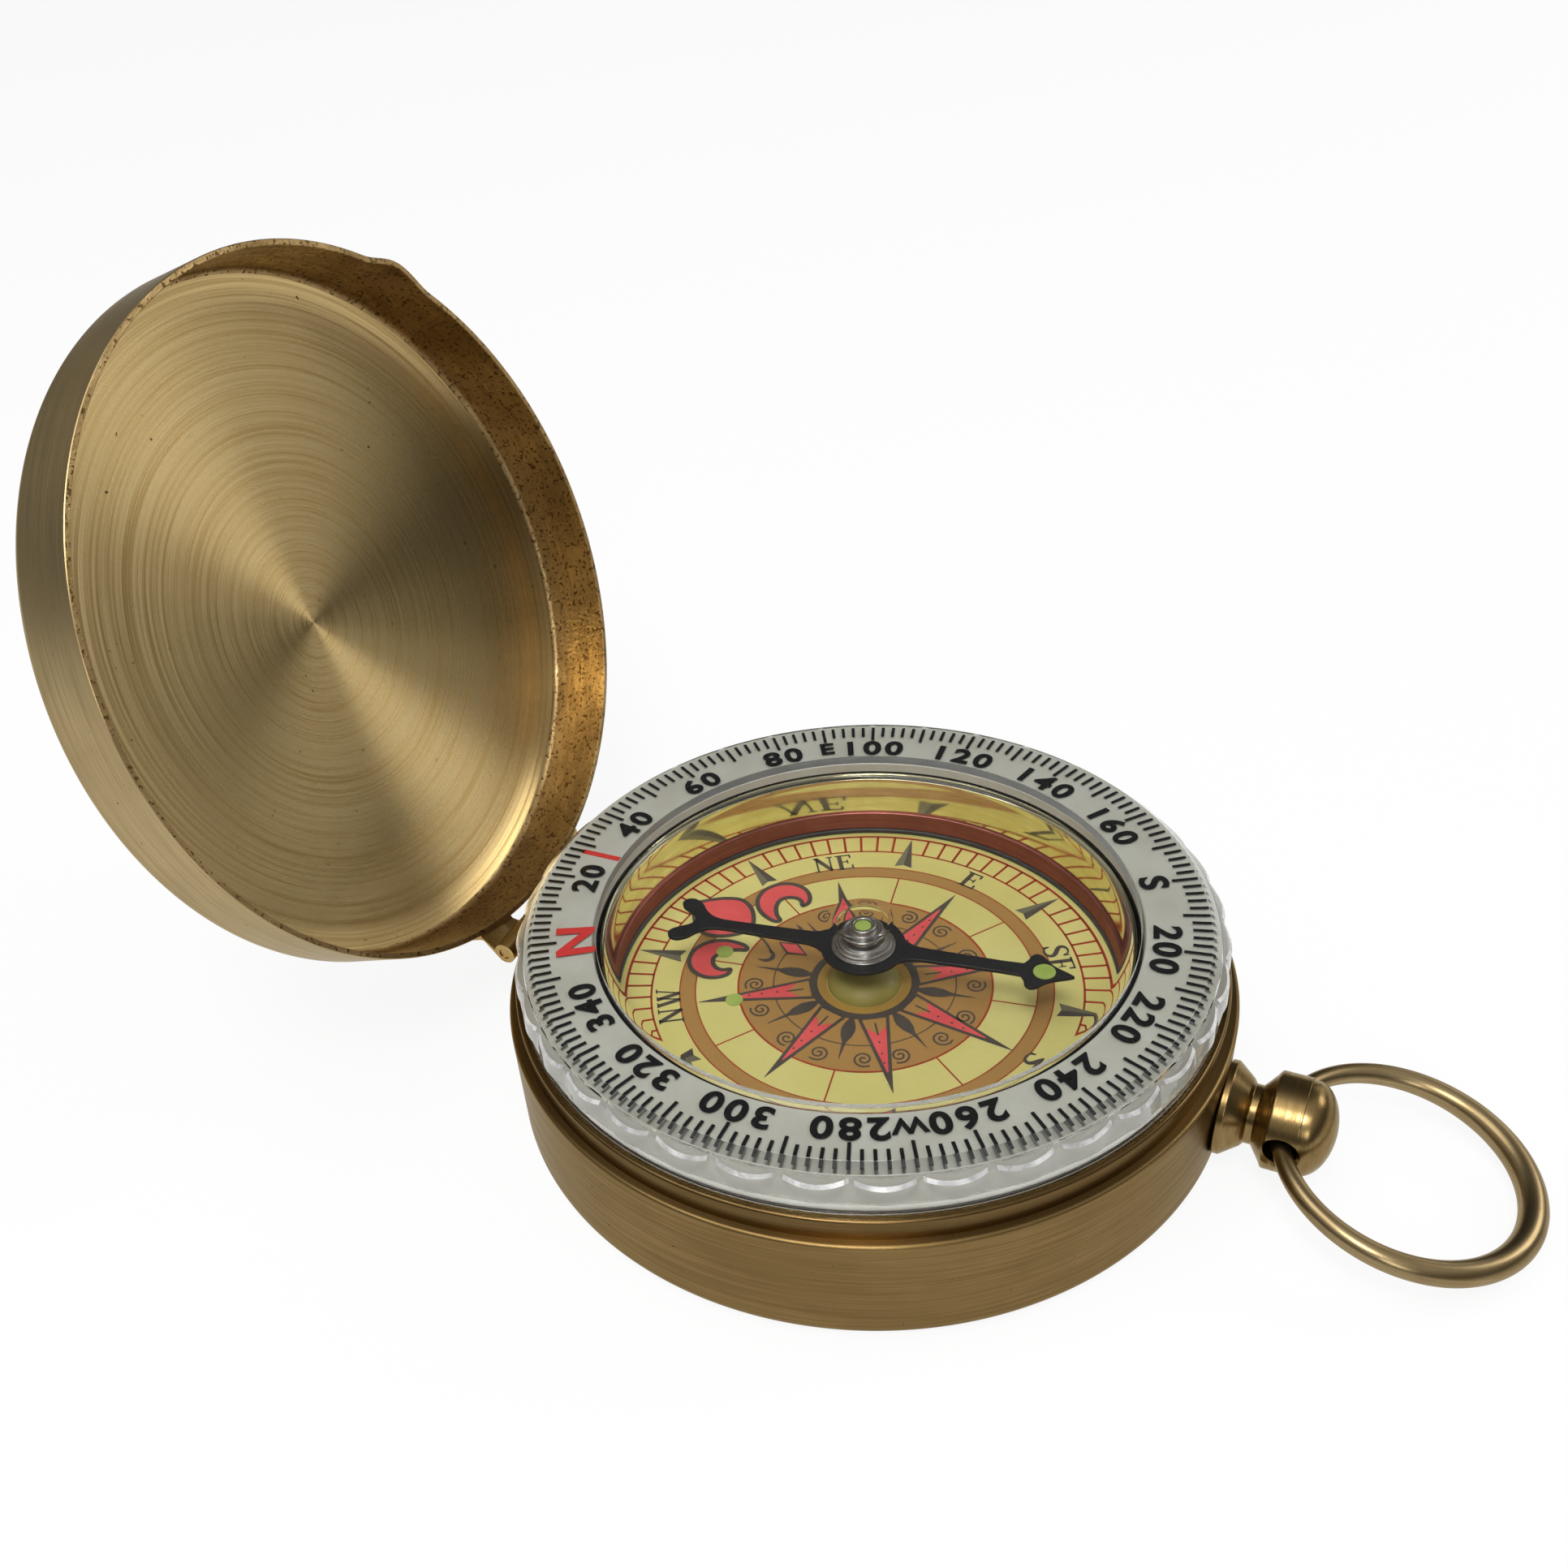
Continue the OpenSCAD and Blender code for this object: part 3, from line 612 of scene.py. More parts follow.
redPaint = solidFinish("redPaint", {
    "colour": tint(205, 48, 44), "shade": tint(190, 40, 40), "rough": 0.5,
})
blackInk = solidFinish("blackInk", {
    "colour": (0.002, 0.002, 0.0025), "shade": (0.004, 0.004, 0.004), "rough": 0.6, "grain": 20.0,
    "shine": 0.08,
})
dialYellow = solidFinish("dialYellow", {
    "colour": tint(206, 198, 126), "shade": tint(196, 186, 112), "rough": 0.5, "clouds": 0.12,
    "fleck": tint(180, 168, 98), "flecks": 0.35, "grain": 5.0,
})
dialRed = solidFinish("dialRed", {
    "colour": tint(214, 84, 84), "shade": tint(200, 70, 74), "rough": 0.5, "grain": 12.0, "flecks": 0.4,
    "fleck": tint(226, 130, 110),
})
dialLine = solidFinish("dialLine", {
    "colour": tint(158, 50, 22), "shade": tint(132, 40, 18), "rough": 0.5, "grain": 14.0,
})
dialInk = solidFinish("dialInk", {
    "colour": tint(74, 66, 60), "shade": tint(60, 54, 50), "rough": 0.5, "grain": 14.0, "flecks": 0.4,
    "fleck": tint(104, 94, 80),
})
dialGrey = solidFinish("dialGrey", {
    "colour": tint(108, 104, 84), "shade": tint(92, 88, 72), "rough": 0.5, "grain": 14.0,
})
dialTan = solidFinish("dialTan", {
    "colour": tint(164, 130, 62), "shade": tint(150, 114, 52), "rough": 0.5,
})
dialBrown = hatchedInk("dialBrown", {
    "colour": tint(140, 98, 48), "gap": tint(176, 140, 82), "rough": 0.5, "lines": 2.6, "dots": 6.0,
    "angle": 30,
})
print("finishes made")


# Case, neck and what they hold
caseHigh = reach("case_cup")[1]
neckLow, neckHigh = reach("neck_ring")
pinLow, pinHigh = reach("hinge_pin")
knuckleLow, knuckleHigh = reach("case_knuckle")
hinge = (pinLow + pinHigh) / 2
hingeAxis = Matrix.Translation(hinge) @ spin(-90, "X")
pendantLow, pendantHigh = reach("pendant")
pendantAxis = Matrix.Translation((0, 0, (pendantLow.z + pendantHigh.z) / 2)) @ spin(90, "Y")
barrelR = (knuckleHigh.z - knuckleLow.z) / 2
caseR = caseHigh.x
caseBuild = {
    "wall": 0.8, "floor": 1.0, "corner": 1.2, "shoulder": 0.25, "hingeGap": 0.18, "hingeEnds": 0.26,
    "pocket": 0.4, "stemR": 1.3,
}


def buildCase():
    b = caseBuild
    bore = caseR - b["wall"]
    top = caseHigh.z
    profile = roundCorners([
        (0, 0), (caseR, 0, b["corner"]), (caseR, top, b["shoulder"]),
        (bore, top, 0.1), (bore, b["floor"], 0.3), (0, b["floor"]),
    ], 8)
    cup = addPiece("caseCup", lathe(profile, 288), satinBrass, "case", ["case_cup"])
    groove = bar(barrelR + b["hingeGap"], pinLow.y - b["hingeEnds"], pinHigh.y + b["hingeEnds"])
    cutAway(cup, moveShape(groove, hingeAxis))
    cutAway(cup, cuboid((-caseR - 2, knuckleLow.y, knuckleLow.z),
                        (-caseR + b["pocket"], knuckleHigh.y, knuckleHigh.z)))
    cutAway(cup, moveShape(bar(b["stemR"], caseR - 2, caseR + 1), pendantAxis))


neckBuild = {"gap": 0.05, "spigotWall": 1.15, "lumeWidth": 4.75, "step": 0.68}


def buildNeck():
    b = neckBuild
    outer, top = neckHigh.x, neckHigh.z
    bore = reach("luminous_ring")[1].x - b["lumeWidth"] + b["step"]
    spigotR = caseR - caseBuild["wall"] - b["gap"]
    spigotBore = spigotR - b["spigotWall"]
    profile = roundCorners([
        (bore, caseHigh.z, 0.1), (spigotBore, caseHigh.z), (spigotBore, neckLow.z, 0.1),
        (spigotR, neckLow.z, 0.1), (spigotR, caseHigh.z), (outer, caseHigh.z), (outer, top, 0.22),
        (bore, top, 0.1),
    ], 5)
    addPiece("neckRing", lathe(profile, 288), neckBrass, "case", ["neck_ring"])


knobR = (pendantHigh.z - pendantLow.z) / 2
bowHinge = Vector(joints["bow_swing"]["pos_m"]) / mm
pendantBuild = {
    "stem": 1.25, "footR": 3.15, "waistR": 1.98, "waistAt": 2.0, "knobAt": 3.0, "knobLength": 2.2,
    "holeR": 1.05, "flare": 0.35,
}


def buildPendant():
    p = pendantBuild
    knob, waistR = caseR + p["knobAt"], p["waistR"]
    knobEnd, tip = knob + p["knobLength"], pendantHigh.x
    domed = [((knobR - 0.08) * cos(a), knobEnd + (tip - knobEnd) * sin(a))
             for a in [radians(8 + 8.2 * i) for i in range(10)]]
    profile = roundCorners([
        (0, pendantLow.x), (p["stem"], pendantLow.x, 0.15), (p["stem"], caseR - 0.02),
        (p["footR"], caseR, 0.08), (p["footR"], caseR + 0.42, 0.15), (waistR + 0.28, caseR + 1.55, 0.3),
        (waistR, caseR + 1.75, 0.08), (waistR, caseR + p["waistAt"] + 0.2, 0.1),
        (waistR + 0.9, knob - 0.12, 0.2), (knobR, knob + 0.1, 0.2), (knobR, knobEnd, 0.05),
    ]) + domed + [(0, tip)]
    shape = moveShape(lathe(profile, 128), pendantAxis)
    finish = turnedMetal("pendantBrass", polishLook, pendantAxis)
    pendant = addPiece("pendantKnob", shape, finish, "case", ["pendant"])
    width, mouth, holeR = knobR + 0.6, p["holeR"] + p["flare"], p["holeR"]
    hole = lathe([(0, -width), (mouth, -width), (mouth, -knobR), (holeR, -knobR + 0.35),
                  (holeR, knobR - 0.35), (mouth, knobR), (mouth, width), (0, width)], 48)
    cutAway(pendant, moveShape(hole, Matrix.Translation(bowHinge) @ spin(-90, "X")))


bowLook = {**polishLook, "light": tint(160, 141, 106), "dark": tint(138, 118, 84), "rough": 0.3}
bowBuild = {
    "slope": 11.0, "back": 0.39, "across": 15.52, "thin": 1.15, "thick": 1.78, "swell": 0.8, "steps": 192,
}


# A ring of drawn wire, thinner where it hangs in the pendant
def buildBow():
    b = bowBuild
    ringR = b["across"] / 2
    centreX = ringR - b["back"]
    path, radii = [], []
    for i in range(b["steps"]):
        a = 2 * pi * i / b["steps"]
        path.append(Vector((centreX + ringR * cos(a), ringR * sin(a), 0)))
        radii.append((b["thin"] + (b["thick"] - b["thin"]) * ((1 + cos(a)) / 2) ** b["swell"]) / 2)
    shape = closedTube(path, radii, Vector((0, 0, 1)))
    tilt = Matrix.Translation(bowHinge) @ spin(b["slope"], "Y")
    finish = turnedMetal("bowBrass", bowLook, tilt @ Matrix.Translation((centreX, 0, 0)))
    addPiece("bowRing", moveShape(shape, tilt), finish, "bow", ["bow_ring"])


buildCase()
buildNeck()
buildPendant()
buildBow()
print("case, neck, pendant and bow built")


# Lid, drawn closed over the case and swung open about the hinge
hingePlace = Matrix.Translation(hinge)
lidPlace = hingePlace @ spin(joints["lid_hinge"]["range_deg"][0], "Y") @ hingePlace.inverted()
lidBuild = {
    "rim": 8.7, "outer": 24.93, "thick": 0.43, "edge": 14.28, "dome": 2.2, "corner": 0.9,
    "lipAngle": 43.0, "lipOut": 0.7, "lipHalf": 3.4, "lipHeight": 2.6,
}


# The thumb lip: the rim pressed outwards over a short stretch
def lipPush(a, r, z):
    b = lidBuild
    turn = (math.degrees(a) - b["lipAngle"] + 180) % 360 - 180
    aside = abs(radians(turn) * b["outer"]) / b["lipHalf"]
    up = (z - b["rim"]) / b["lipHeight"]
    if aside >= 1 or up >= 1 or r < b["outer"] - 1:
        return 0
    return b["lipOut"] * cos(aside * pi / 2) ** 2 * cos(up * pi / 2)


def buildLid():
    b = lidBuild
    outer, rim, corner = b["outer"], b["rim"], b["corner"]
    inner = outer - b["thick"]
    under = b["edge"] - b["thick"]

    def domed(r, z):
        return z + b["dome"] * (1 - (r / outer) ** 2)

    wallHeights = [rim + 0.35 * i for i in range(1, 9)]
    cornerR, cornerZ = outer - corner, domed(outer - corner, b["edge"])
    bend = [(cornerR + corner * cos(radians(a)), cornerZ - corner + corner * sin(radians(a)))
            for a in range(0, 91, 10)]
    outside = [(outer - 0.05, rim), (outer, rim + 0.05)] + [(outer, z) for z in wallHeights] + bend
    outside += [(cornerR * (1 - i / 12), domed(cornerR * (1 - i / 12), b["edge"])) for i in range(1, 13)]
    plateR = inner - 0.35
    inside = [(plateR * i / 12, domed(plateR * i / 12, under)) for i in range(13)]
    inside += [(inner - 0.12, domed(inner, under) - 0.1), (inner, domed(inner, under) - 0.35)]
    walls = [(inner, z) for z in reversed(wallHeights)] + [(inner, rim + 0.05), (inner + 0.05, rim)]
    profile = outside + inside + walls
    zones = [0] * len(outside) + [1] * 12 + [2] * (len(profile) - len(outside) - 12)
    finishes = [turnedMetal(name, look, lidPlace) for name, look in (
        ("lidOutside", lidLook), ("brushedPlate", plateLook), ("grainyWall", innerWallLook))]
    shape = moveShape(lathe(profile, 360, zones, lipPush), lidPlace)
    addPiece("lidShell", shape, finishes, "lid", ["lid_shell"])


# Each lid knuckle is a rolled barrel whose leaf hugs the lid's wall
hingeLook = {**polishLook, "light": tint(196, 166, 110), "dark": tint(160, 130, 80), "rough": 0.32}
hingeBrass = turnedMetal("hingeBrass", hingeLook, hingeAxis)
leafBuild = {"barrel": 0.82, "pin": 0.45, "thick": 0.34, "height": 1.45, "sections": 9}


def leafSection(y):
    b = leafBuild
    rim = lidBuild["rim"]
    wall = -math.sqrt(lidBuild["outer"] ** 2 - y * y)
    seat, face, top = wall + 0.08, wall - b["thick"], rim + b["height"]
    outline = [(hinge.x + b["barrel"] * cos(radians(a)),
                hinge.z + b["barrel"] * sin(radians(a))) for a in range(130, 421, 10)]
    outline += [(wall - 0.22, rim - 0.03), (seat, rim + 0.04), (seat, top - 0.04), (face + 0.14, top),
                (face, top - 0.14), (face, rim + 0.3), (face - 0.08, rim)]
    return [(x, y, z) for x, z in outline]


def buildLeaf(name, node):
    b = leafBuild
    low, high = reach(node)
    shape = newShape()
    rings = []
    for i in range(b["sections"]):
        start = len(shape["points"])
        shape["points"] += leafSection(low.y + (high.y - low.y) * i / (b["sections"] - 1))
        rings.append(list(range(start, len(shape["points"]))))
    joinRings(shape, rings, False)
    addFace(shape, rings[0][::-1])
    addFace(shape, rings[-1])
    leaf = addPiece(name, moveShape(shape, lidPlace), hingeBrass, "lid", [node])
    cutAway(leaf, moveShape(bar(b["pin"], -9, 9), hingeAxis))


buildLid()
buildLeaf("lidKnuckleNear", "lid_knuckle_near")
buildLeaf("lidKnuckleFar", "lid_knuckle_far")
print("lid built")


# Dial and its printed rose
dialLow, dialHigh = reach("dial_plate")
dialLift = 0.2
dialTop = dialHigh.z + dialLift
dialR = dialHigh.x
layer = 0.008  # Thickness of one layer of ink
dialBuild = {
    "north": 166.7, "hole": 0.95, "scaleOut": 16.98, "scaleIn": 15.1, "divisions": 80, "wedgeIn": 13.4,
    "wedgeHalf": 0.65, "bandOut": 13.07, "bandIn": 11.95, "roseR": 8.9, "innerR": 6.4, "eyeOut": 3.86,
    "eyeIn": 3.3, "tanIn": 2.65, "letterR": 12.95, "letterH": 1.75,
    "leaf": ((3.75, 0.12), (4.4, 0.4), (4.9, 0.5), (5.6, 0.4), (6.2, 0.14), (7.85, 0.02)),
    # Tips of the eight winds, from north clockwise; north is the lily's
    "tips": (0, 11.5, 11.7, 10.8, 12.05, 11.0, 11.5, 11.8),
    "rayIn": 3.75, "rayHalf": 1.08, "rayEdge": 0.24, "redIn": 4.7, "redOut": 9.9,
    "rayLine": (4.3, 5.5), "rayDots": (6.1, 7.2, 8.1),
}
dialTurn = spin(dialBuild["north"] - 90, "Z")


# Point of the dial at a heading, with north up and headings clockwise
def heading(r, degrees, aside=0.0):
    a = radians(degrees)
    return (r * sin(a) + aside * cos(a), r * cos(a) - aside * sin(a))


def inkLayer(number):
    low = dialTop + layer * (number - 1) if number > 1 else dialTop - layer
    return low, dialTop + layer * number


def drawCircle(ink, r, width, number):
    addStroke(ink, ringPath(r), width, *inkLayer(number), closed=True)


def drawBand(ink, inner, outer, number):
    drawCircle(ink, (outer + inner) / 2, outer - inner, number)


def drawLine(ink, inner, outer, turn, width, number):
    addStroke(ink, [heading(inner, turn), heading(outer, turn)], width, *inkLayer(number))


def drawScale(lines, wedges, shades):
    b = dialBuild
    drawCircle(lines, b["scaleOut"], 0.2, 1)
    drawCircle(lines, b["scaleIn"], 0.15, 1)
    for i in range(b["divisions"]):
        turn = 360 / b["divisions"] * i
        if i % 10 == 5:
            tip = heading(b["scaleOut"] - 0.1, turn)
            left = heading(b["wedgeIn"], turn, -b["wedgeHalf"])
            notch = heading(b["wedgeIn"] + 0.25, turn)
            right = heading(b["wedgeIn"], turn, b["wedgeHalf"])
            addPrism(wedges, [tip, left, notch], *inkLayer(2))
            addPrism(shades, [tip, notch, right], *inkLayer(2))
        else:
            drawLine(lines, b["scaleIn"], b["scaleOut"], turn, 0.19, 1)


def drawRose(brown, lines, ink, tan):
    b = dialBuild
    drawBand(brown, b["bandIn"], b["bandOut"], 1)
    for r in (b["bandIn"], b["bandOut"]):
        drawCircle(lines, r, 0.09, 2)
    drawBand(brown, b["eyeIn"], b["roseR"], 1)
    drawCircle(lines, b["roseR"], 0.14, 2)
    drawCircle(ink, b["innerR"], 0.09, 2)
    drawBand(ink, b["eyeIn"], b["eyeOut"], 5)
    drawBand(tan, b["tanIn"], b["eyeIn"], 5)
    for i in range(8):
        half = 22.5 + 45 * i
        drawLine(lines, b["roseR"], b["bandIn"], half, 0.11, 1)
        addPrism(ink, mirrored(b["leaf"], half), *inkLayer(3))


# An outline from its right half as (radius, aside), set along a heading
def mirrored(half, degrees):
    right = [heading(r, degrees, aside) for r, aside in half]
    left = [heading(r, degrees, -aside) for r, aside in reversed(half)]
    return right + left


def drawRays(brown, ink, red):
    b = dialBuild
    for i, tip in enumerate(b["tips"]):
        if not tip:
            continue
        turn = 45 * i
        slope = b["rayHalf"] / (tip - b["rayIn"])

        def halfAt(r):
            return max((tip - r) * slope - b["rayEdge"], 0.02)

        addPrism(ink, mirrored([(b["rayIn"], b["rayHalf"]), (tip, 0.015)], turn), *inkLayer(3))
        brownEnds = [(r, halfAt(r)) for r in (b["rayIn"] + 0.1, b["redIn"] + 1)]
        addPrism(brown, mirrored(brownEnds, turn), *inkLayer(4))
        redTop = min(b["redOut"], tip - b["rayEdge"] / slope - 0.3)
        outline = [heading(b["redIn"] + 0.7, turn)]
        outline += [heading(r, turn, halfAt(r)) for r in (b["redIn"], redTop)]
        outline += [heading(r, turn, -halfAt(r)) for r in (redTop, b["redIn"])]
        addPrism(red, outline, *inkLayer(5))
        drawLine(ink, *b["rayLine"], turn, 0.13, 6)
        for r in b["rayDots"]:
            drawLine(ink, r, r + 0.16, turn + 0.4, 0.14, 6)


spiralBuild = {
    "r": 7.7, "size": 0.73, "line": 0.14, "turns": 1.8, "steps": 44,
    "headings": (-36.5, -56.4, -82.4, -101.6, -124.8, -143, -167.7, 173, 147.9, 101, 79.7, 124.5, 55.5, 34),
}


def drawSpirals(ink):
    b = spiralBuild
    for count, turn in enumerate(b["headings"]):
        centre = Vector(heading(b["r"], turn))
        hand = 1 if count % 2 else -1
        path = []
        for i in range(b["steps"] + 1):
            t = i / b["steps"]
            a = radians(90 - turn) + hand * (2 * pi * b["turns"] * t - 0.6)
            r = b["size"] * (1 - 0.9 * t)
            path.append(tuple(centre + Vector(onCircle(r, a))))
        addStroke(ink, path, b["line"], *inkLayer(3))


# The lily at north: its right half, repeated to the left
lilyBuild = {
    "petal": [(0, 15.55), (0.75, 15.05), (1.7, 14.1), (2.3, 12.9), (1.95, 11.7), (1.0, 10.7), (0, 10.3)],
    "hook": [(1.7, 9.5), (2.0, 10.8), (2.8, 11.75), (4.0, 12.15), (5.2, 11.8), (5.95, 10.9), (6.05, 9.8),
             (5.6, 8.95), (4.9, 8.5), (4.35, 8.65), (4.7, 9.05), (4.8, 9.55), (4.5, 10.15), (3.9, 10.45),
             (3.1, 10.2), (2.4, 9.6), (2.0, 9.0)],
    "lozenge": [(0, 7.5), (0.6, 6.35), (0, 5.1)],
    "moon": [(2.3, 7.75), (2.25, 7.1), (1.75, 6.75), (1.2, 7.0), (1.0, 7.6), (1.3, 7.25), (1.75, 7.1),
             (2.1, 7.35)],
    "stem": [(0.35, 10.0), (0.32, 9.0), (0.75, 8.0), (1.25, 7.3)],
    "edge": 0.34,
}


def drawLily(ink, red):
    b = lilyBuild
    petal = b["petal"] + [(-x, y) for x, y in reversed(b["petal"][1:-1])]
    lozenge = b["lozenge"] + [(-b["lozenge"][1][0], b["lozenge"][1][1])]
    addStroke(ink, smoothPath(petal), b["edge"], *inkLayer(7), closed=True)
    addPrism(red, smoothPath(petal), *inkLayer(6))
    addStroke(ink, lozenge, 0.2, *inkLayer(7), closed=True)
    addPrism(red, lozenge, *inkLayer(6))
    for side in (1, -1):
        hook = [(side * x, y) for x, y in b["hook"]][::side]
        addStroke(ink, smoothPath(hook), b["edge"], *inkLayer(7), closed=True)
        addPrism(red, smoothPath(hook), *inkLayer(6))
        moon = [(side * x, y) for x, y in b["moon"]][::side]
        addPrism(ink, smoothPath(moon, 4), *inkLayer(5))
        stem = [(side * x, y) for x, y in b["stem"]]
        addStroke(ink, smoothPath(stem, 5, False), 0.17, *inkLayer(5))


# Roman letters in a box one unit high: strokes as (start, end, width)
serifs = {
    "N": (0.86, [((0.14, 0.0), (0.14, 1.0), 0.08), ((0.12, 0.97), (0.74, 0.03), 0.19),
                 ((0.72, 0.0), (0.72, 1.0), 0.08), ((0.0, 0.03), (0.28, 0.03), 0.06),
                 ((0.0, 0.97), (0.24, 0.97), 0.06), ((0.58, 0.97), (0.86, 0.97), 0.06)]),
    "E": (0.74, [((0.2, 0.0), (0.2, 1.0), 0.19), ((0.0, 0.03), (0.7, 0.03), 0.07),
                 ((0.0, 0.97), (0.68, 0.97), 0.07), ((0.2, 0.52), (0.52, 0.52), 0.06),
                 ((0.52, 0.38), (0.52, 0.66), 0.06), ((0.7, 0.0), (0.7, 0.27), 0.08),
                 ((0.66, 0.76), (0.66, 1.0), 0.08)]),
    "W": (1.1, [((0.12, 0.97), (0.38, 0.03), 0.18), ((0.38, 0.03), (0.56, 0.9), 0.07),
                ((0.5, 0.97), (0.76, 0.03), 0.18), ((0.76, 0.03), (1.0, 0.97), 0.07),
                ((0.0, 0.97), (0.28, 0.97), 0.06), ((0.42, 0.97), (0.66, 0.97), 0.06),
                ((0.88, 0.97), (1.12, 0.97), 0.06)]),
    "S": (0.66, []),
}
sCurve = [(0.6, 0.74), (0.5, 0.93), (0.3, 0.98), (0.12, 0.88), (0.1, 0.7), (0.26, 0.56), (0.46, 0.44),
          (0.58, 0.28), (0.52, 0.1), (0.32, 0.02), (0.12, 0.08), (0.04, 0.27)]


def drawLetters(ink):
    b = dialBuild
    for turn, word in zip(range(45, 360, 45), ("NE", "E", "SE", "S", "SW", "W", "NW")):
        gap = 0.1
        width = sum(serifs[letter][0] for letter in word) + gap * (len(word) - 1)
        at = -width / 2
        for letter in word:
            strokes = serifs[letter][1]

            def place(x, y):
                return heading(b["letterR"] + b["letterH"] * y, turn, b["letterH"] * (at + x))

            for start, end, thick in strokes:
                addStroke(ink, [place(*start), place(*end)], b["letterH"] * thick, *inkLayer(4))
            if letter == "S":
                path = [place(x, y) for x, y in smoothPath(sCurve, 5, False)]
                addStroke(ink, path, lambda t: b["letterH"] * (0.06 + 0.13 * sin(pi * t) ** 2),
                          *inkLayer(4))
                for x, low, high in ((0.61, 0.72, 0.98), (0.04, 0.02, 0.29)):
                    addStroke(ink, [place(x, low), place(x, high)], b["letterH"] * 0.06, *inkLayer(4))
            at += serifs[letter][0] + gap


def buildDial():
    profile = roundCorners([(dialBuild["hole"], dialLow.z), (dialR, dialLow.z, 0.05),
                            (dialR, dialTop, 0.05), (dialBuild["hole"], dialTop)], 3)
    addPiece("dialPlate", lathe(profile, 240), dialYellow, "case", ["dial_plate"])
    shapes = {name: newShape() for name in ("Brown", "Lines", "Ink", "Grey", "Red", "Tan")}
    drawScale(shapes["Lines"], shapes["Grey"], shapes["Ink"])
    drawRose(shapes["Brown"], shapes["Lines"], shapes["Ink"], shapes["Tan"])
    drawRays(shapes["Brown"], shapes["Ink"], shapes["Red"])
    drawSpirals(shapes["Ink"])
    drawLily(shapes["Ink"], shapes["Red"])
    drawLetters(shapes["Ink"])
    finishes = {"Brown": dialBrown, "Lines": dialLine, "Ink": dialInk, "Grey": dialGrey, "Red": dialRed,
                "Tan": dialTan}
    for name, shape in shapes.items():
        addPiece("dial" + name, moveShape(shape, dialTurn), finishes[name], "case")


lumeBuild = {"places": ((-3.05, 10.2), (-6.7, 6.4)), "r": 0.62, "sunk": 0.01, "proud": 0.08}


def buildLumeDots():
    b = lumeBuild
    shape = newShape()
    low, high = dialTop - b["sunk"], dialTop + b["proud"]
    for x, y in b["places"]:
        dot = roundCorners([(0, low), (b["r"], low), (b["r"], high, 0.05), (0, high + 0.01)], 3)
        spot = moveShape(lathe(dot, 32), Matrix.Translation((x, y, 0)))
        start = len(shape["points"])
        shape["points"] += spot["points"]
        for face in spot["faces"]:
            addFace(shape, [start + i for i in face])
    addPiece("dialDots", moveShape(shape, dialTurn), greenLume, "case", ["dial_dots"])


buildDial()
buildLumeDots()
print("dial printed")


# Rings over the dial's margin, capsule and crystal
def ringPiece(name, node, width, finish, edge=0.05, raised=0.0, dropped=0.0):
    low, high = reach(node)
    bore, start, end = high.x - width, low.z + raised, high.z - dropped
    profile = roundCorners([(bore, start, edge), (high.x, start, edge), (high.x, end, edge),
                            (bore, end, edge)], 4)
    addPiece(name, lathe(profile, 288), finish, "case", [node])


# A black ring fills the dark band between the dial's margin and the damping ring
ringPiece("dialDarkBand", "dial_gasket", 0.66, blackPlastic, 0.12, raised=dialLift)
ringPiece("dampingRing", "damping_ring", 0.56, copperRing, 0.1, dropped=0.36)
ringPiece("reflectorRing", "reflector_ring", 0.35, mirrorWall, 0.04, raised=-0.36)

windowBuild = {"rise": 0.6, "thick": 0.8, "beadR": 1.98, "beadW": 0.25, "beadH": 0.035, "wall": 0.35}


def buildCapsule():
    low, high = reach("capsule_body")
    bore = high.x - windowBuild["wall"]
    profile = roundCorners([(0, low.z), (high.x, low.z, 0.2), (high.x, high.z, 0.1), (bore, high.z, 0.06),
                            (bore, dialLow.z, 0.05), (0, dialLow.z)], 4)
    addPiece("capsuleBody", lathe(profile, 240), clearBezel, "case", ["capsule_body"])


def buildCrystal():
    b = windowBuild
    high = reach("crystal")[1]
    outer = high.x
    edge = high.z - b["rise"]
    floor = edge - b["thick"]

    def domed(r, z):
        return z + b["rise"] * (1 - (r / outer) ** 2)

    over = [(outer * i / 20, domed(outer * i / 20, edge)) for i in range(20)]
    side = [(outer - 0.05, edge + 0.02), (outer, edge - 0.04), (outer, floor + 0.04), (outer - 0.05, floor)]
    under = [(outer * i / 20, domed(outer * i / 20, floor)) for i in range(19, 2, -1)]
    beadIn, beadOut = b["beadR"] - b["beadW"], b["beadR"]
    foot = domed(beadOut, floor)
    crest = foot - b["beadH"]
    under += [(beadOut + 0.06, foot), (beadOut, crest + 0.02), (beadOut - 0.05, crest),
              (beadIn + 0.05, crest), (beadIn, crest + 0.02), (beadIn - 0.06, foot),
              (1.0, domed(1.0, floor)), (0, domed(0, floor))]
    addPiece("crystal", lathe(over + side + under, 240), clearCrystal, "case", ["crystal"],
             sharp=50)


lumeRingBuild = {"groove": 0.3, "play": 0.02}


def buildLuminousRing():
    b = lumeRingBuild
    low, high = reach("luminous_ring")
    springLow, springHigh = reach("bezel_spring")
    bore = high.x - neckBuild["lumeWidth"]
    floor = high.x - b["groove"]
    profile = roundCorners([
        (bore, low.z), (high.x, low.z), (high.x, springLow.z - b["play"]), (floor, springLow.z - b["play"]),
        (floor, springHigh.z + b["play"]), (high.x, springHigh.z + b["play"]), (high.x, high.z, 0.12),
        (bore, high.z, 0.15),
    ], 4)
    addPiece("luminousRing", lathe(profile, 288), greyLume, "case", ["luminous_ring"])


bossBuild = {"stalk": 0.9, "wellR": 0.3, "wellDeep": 0.3}


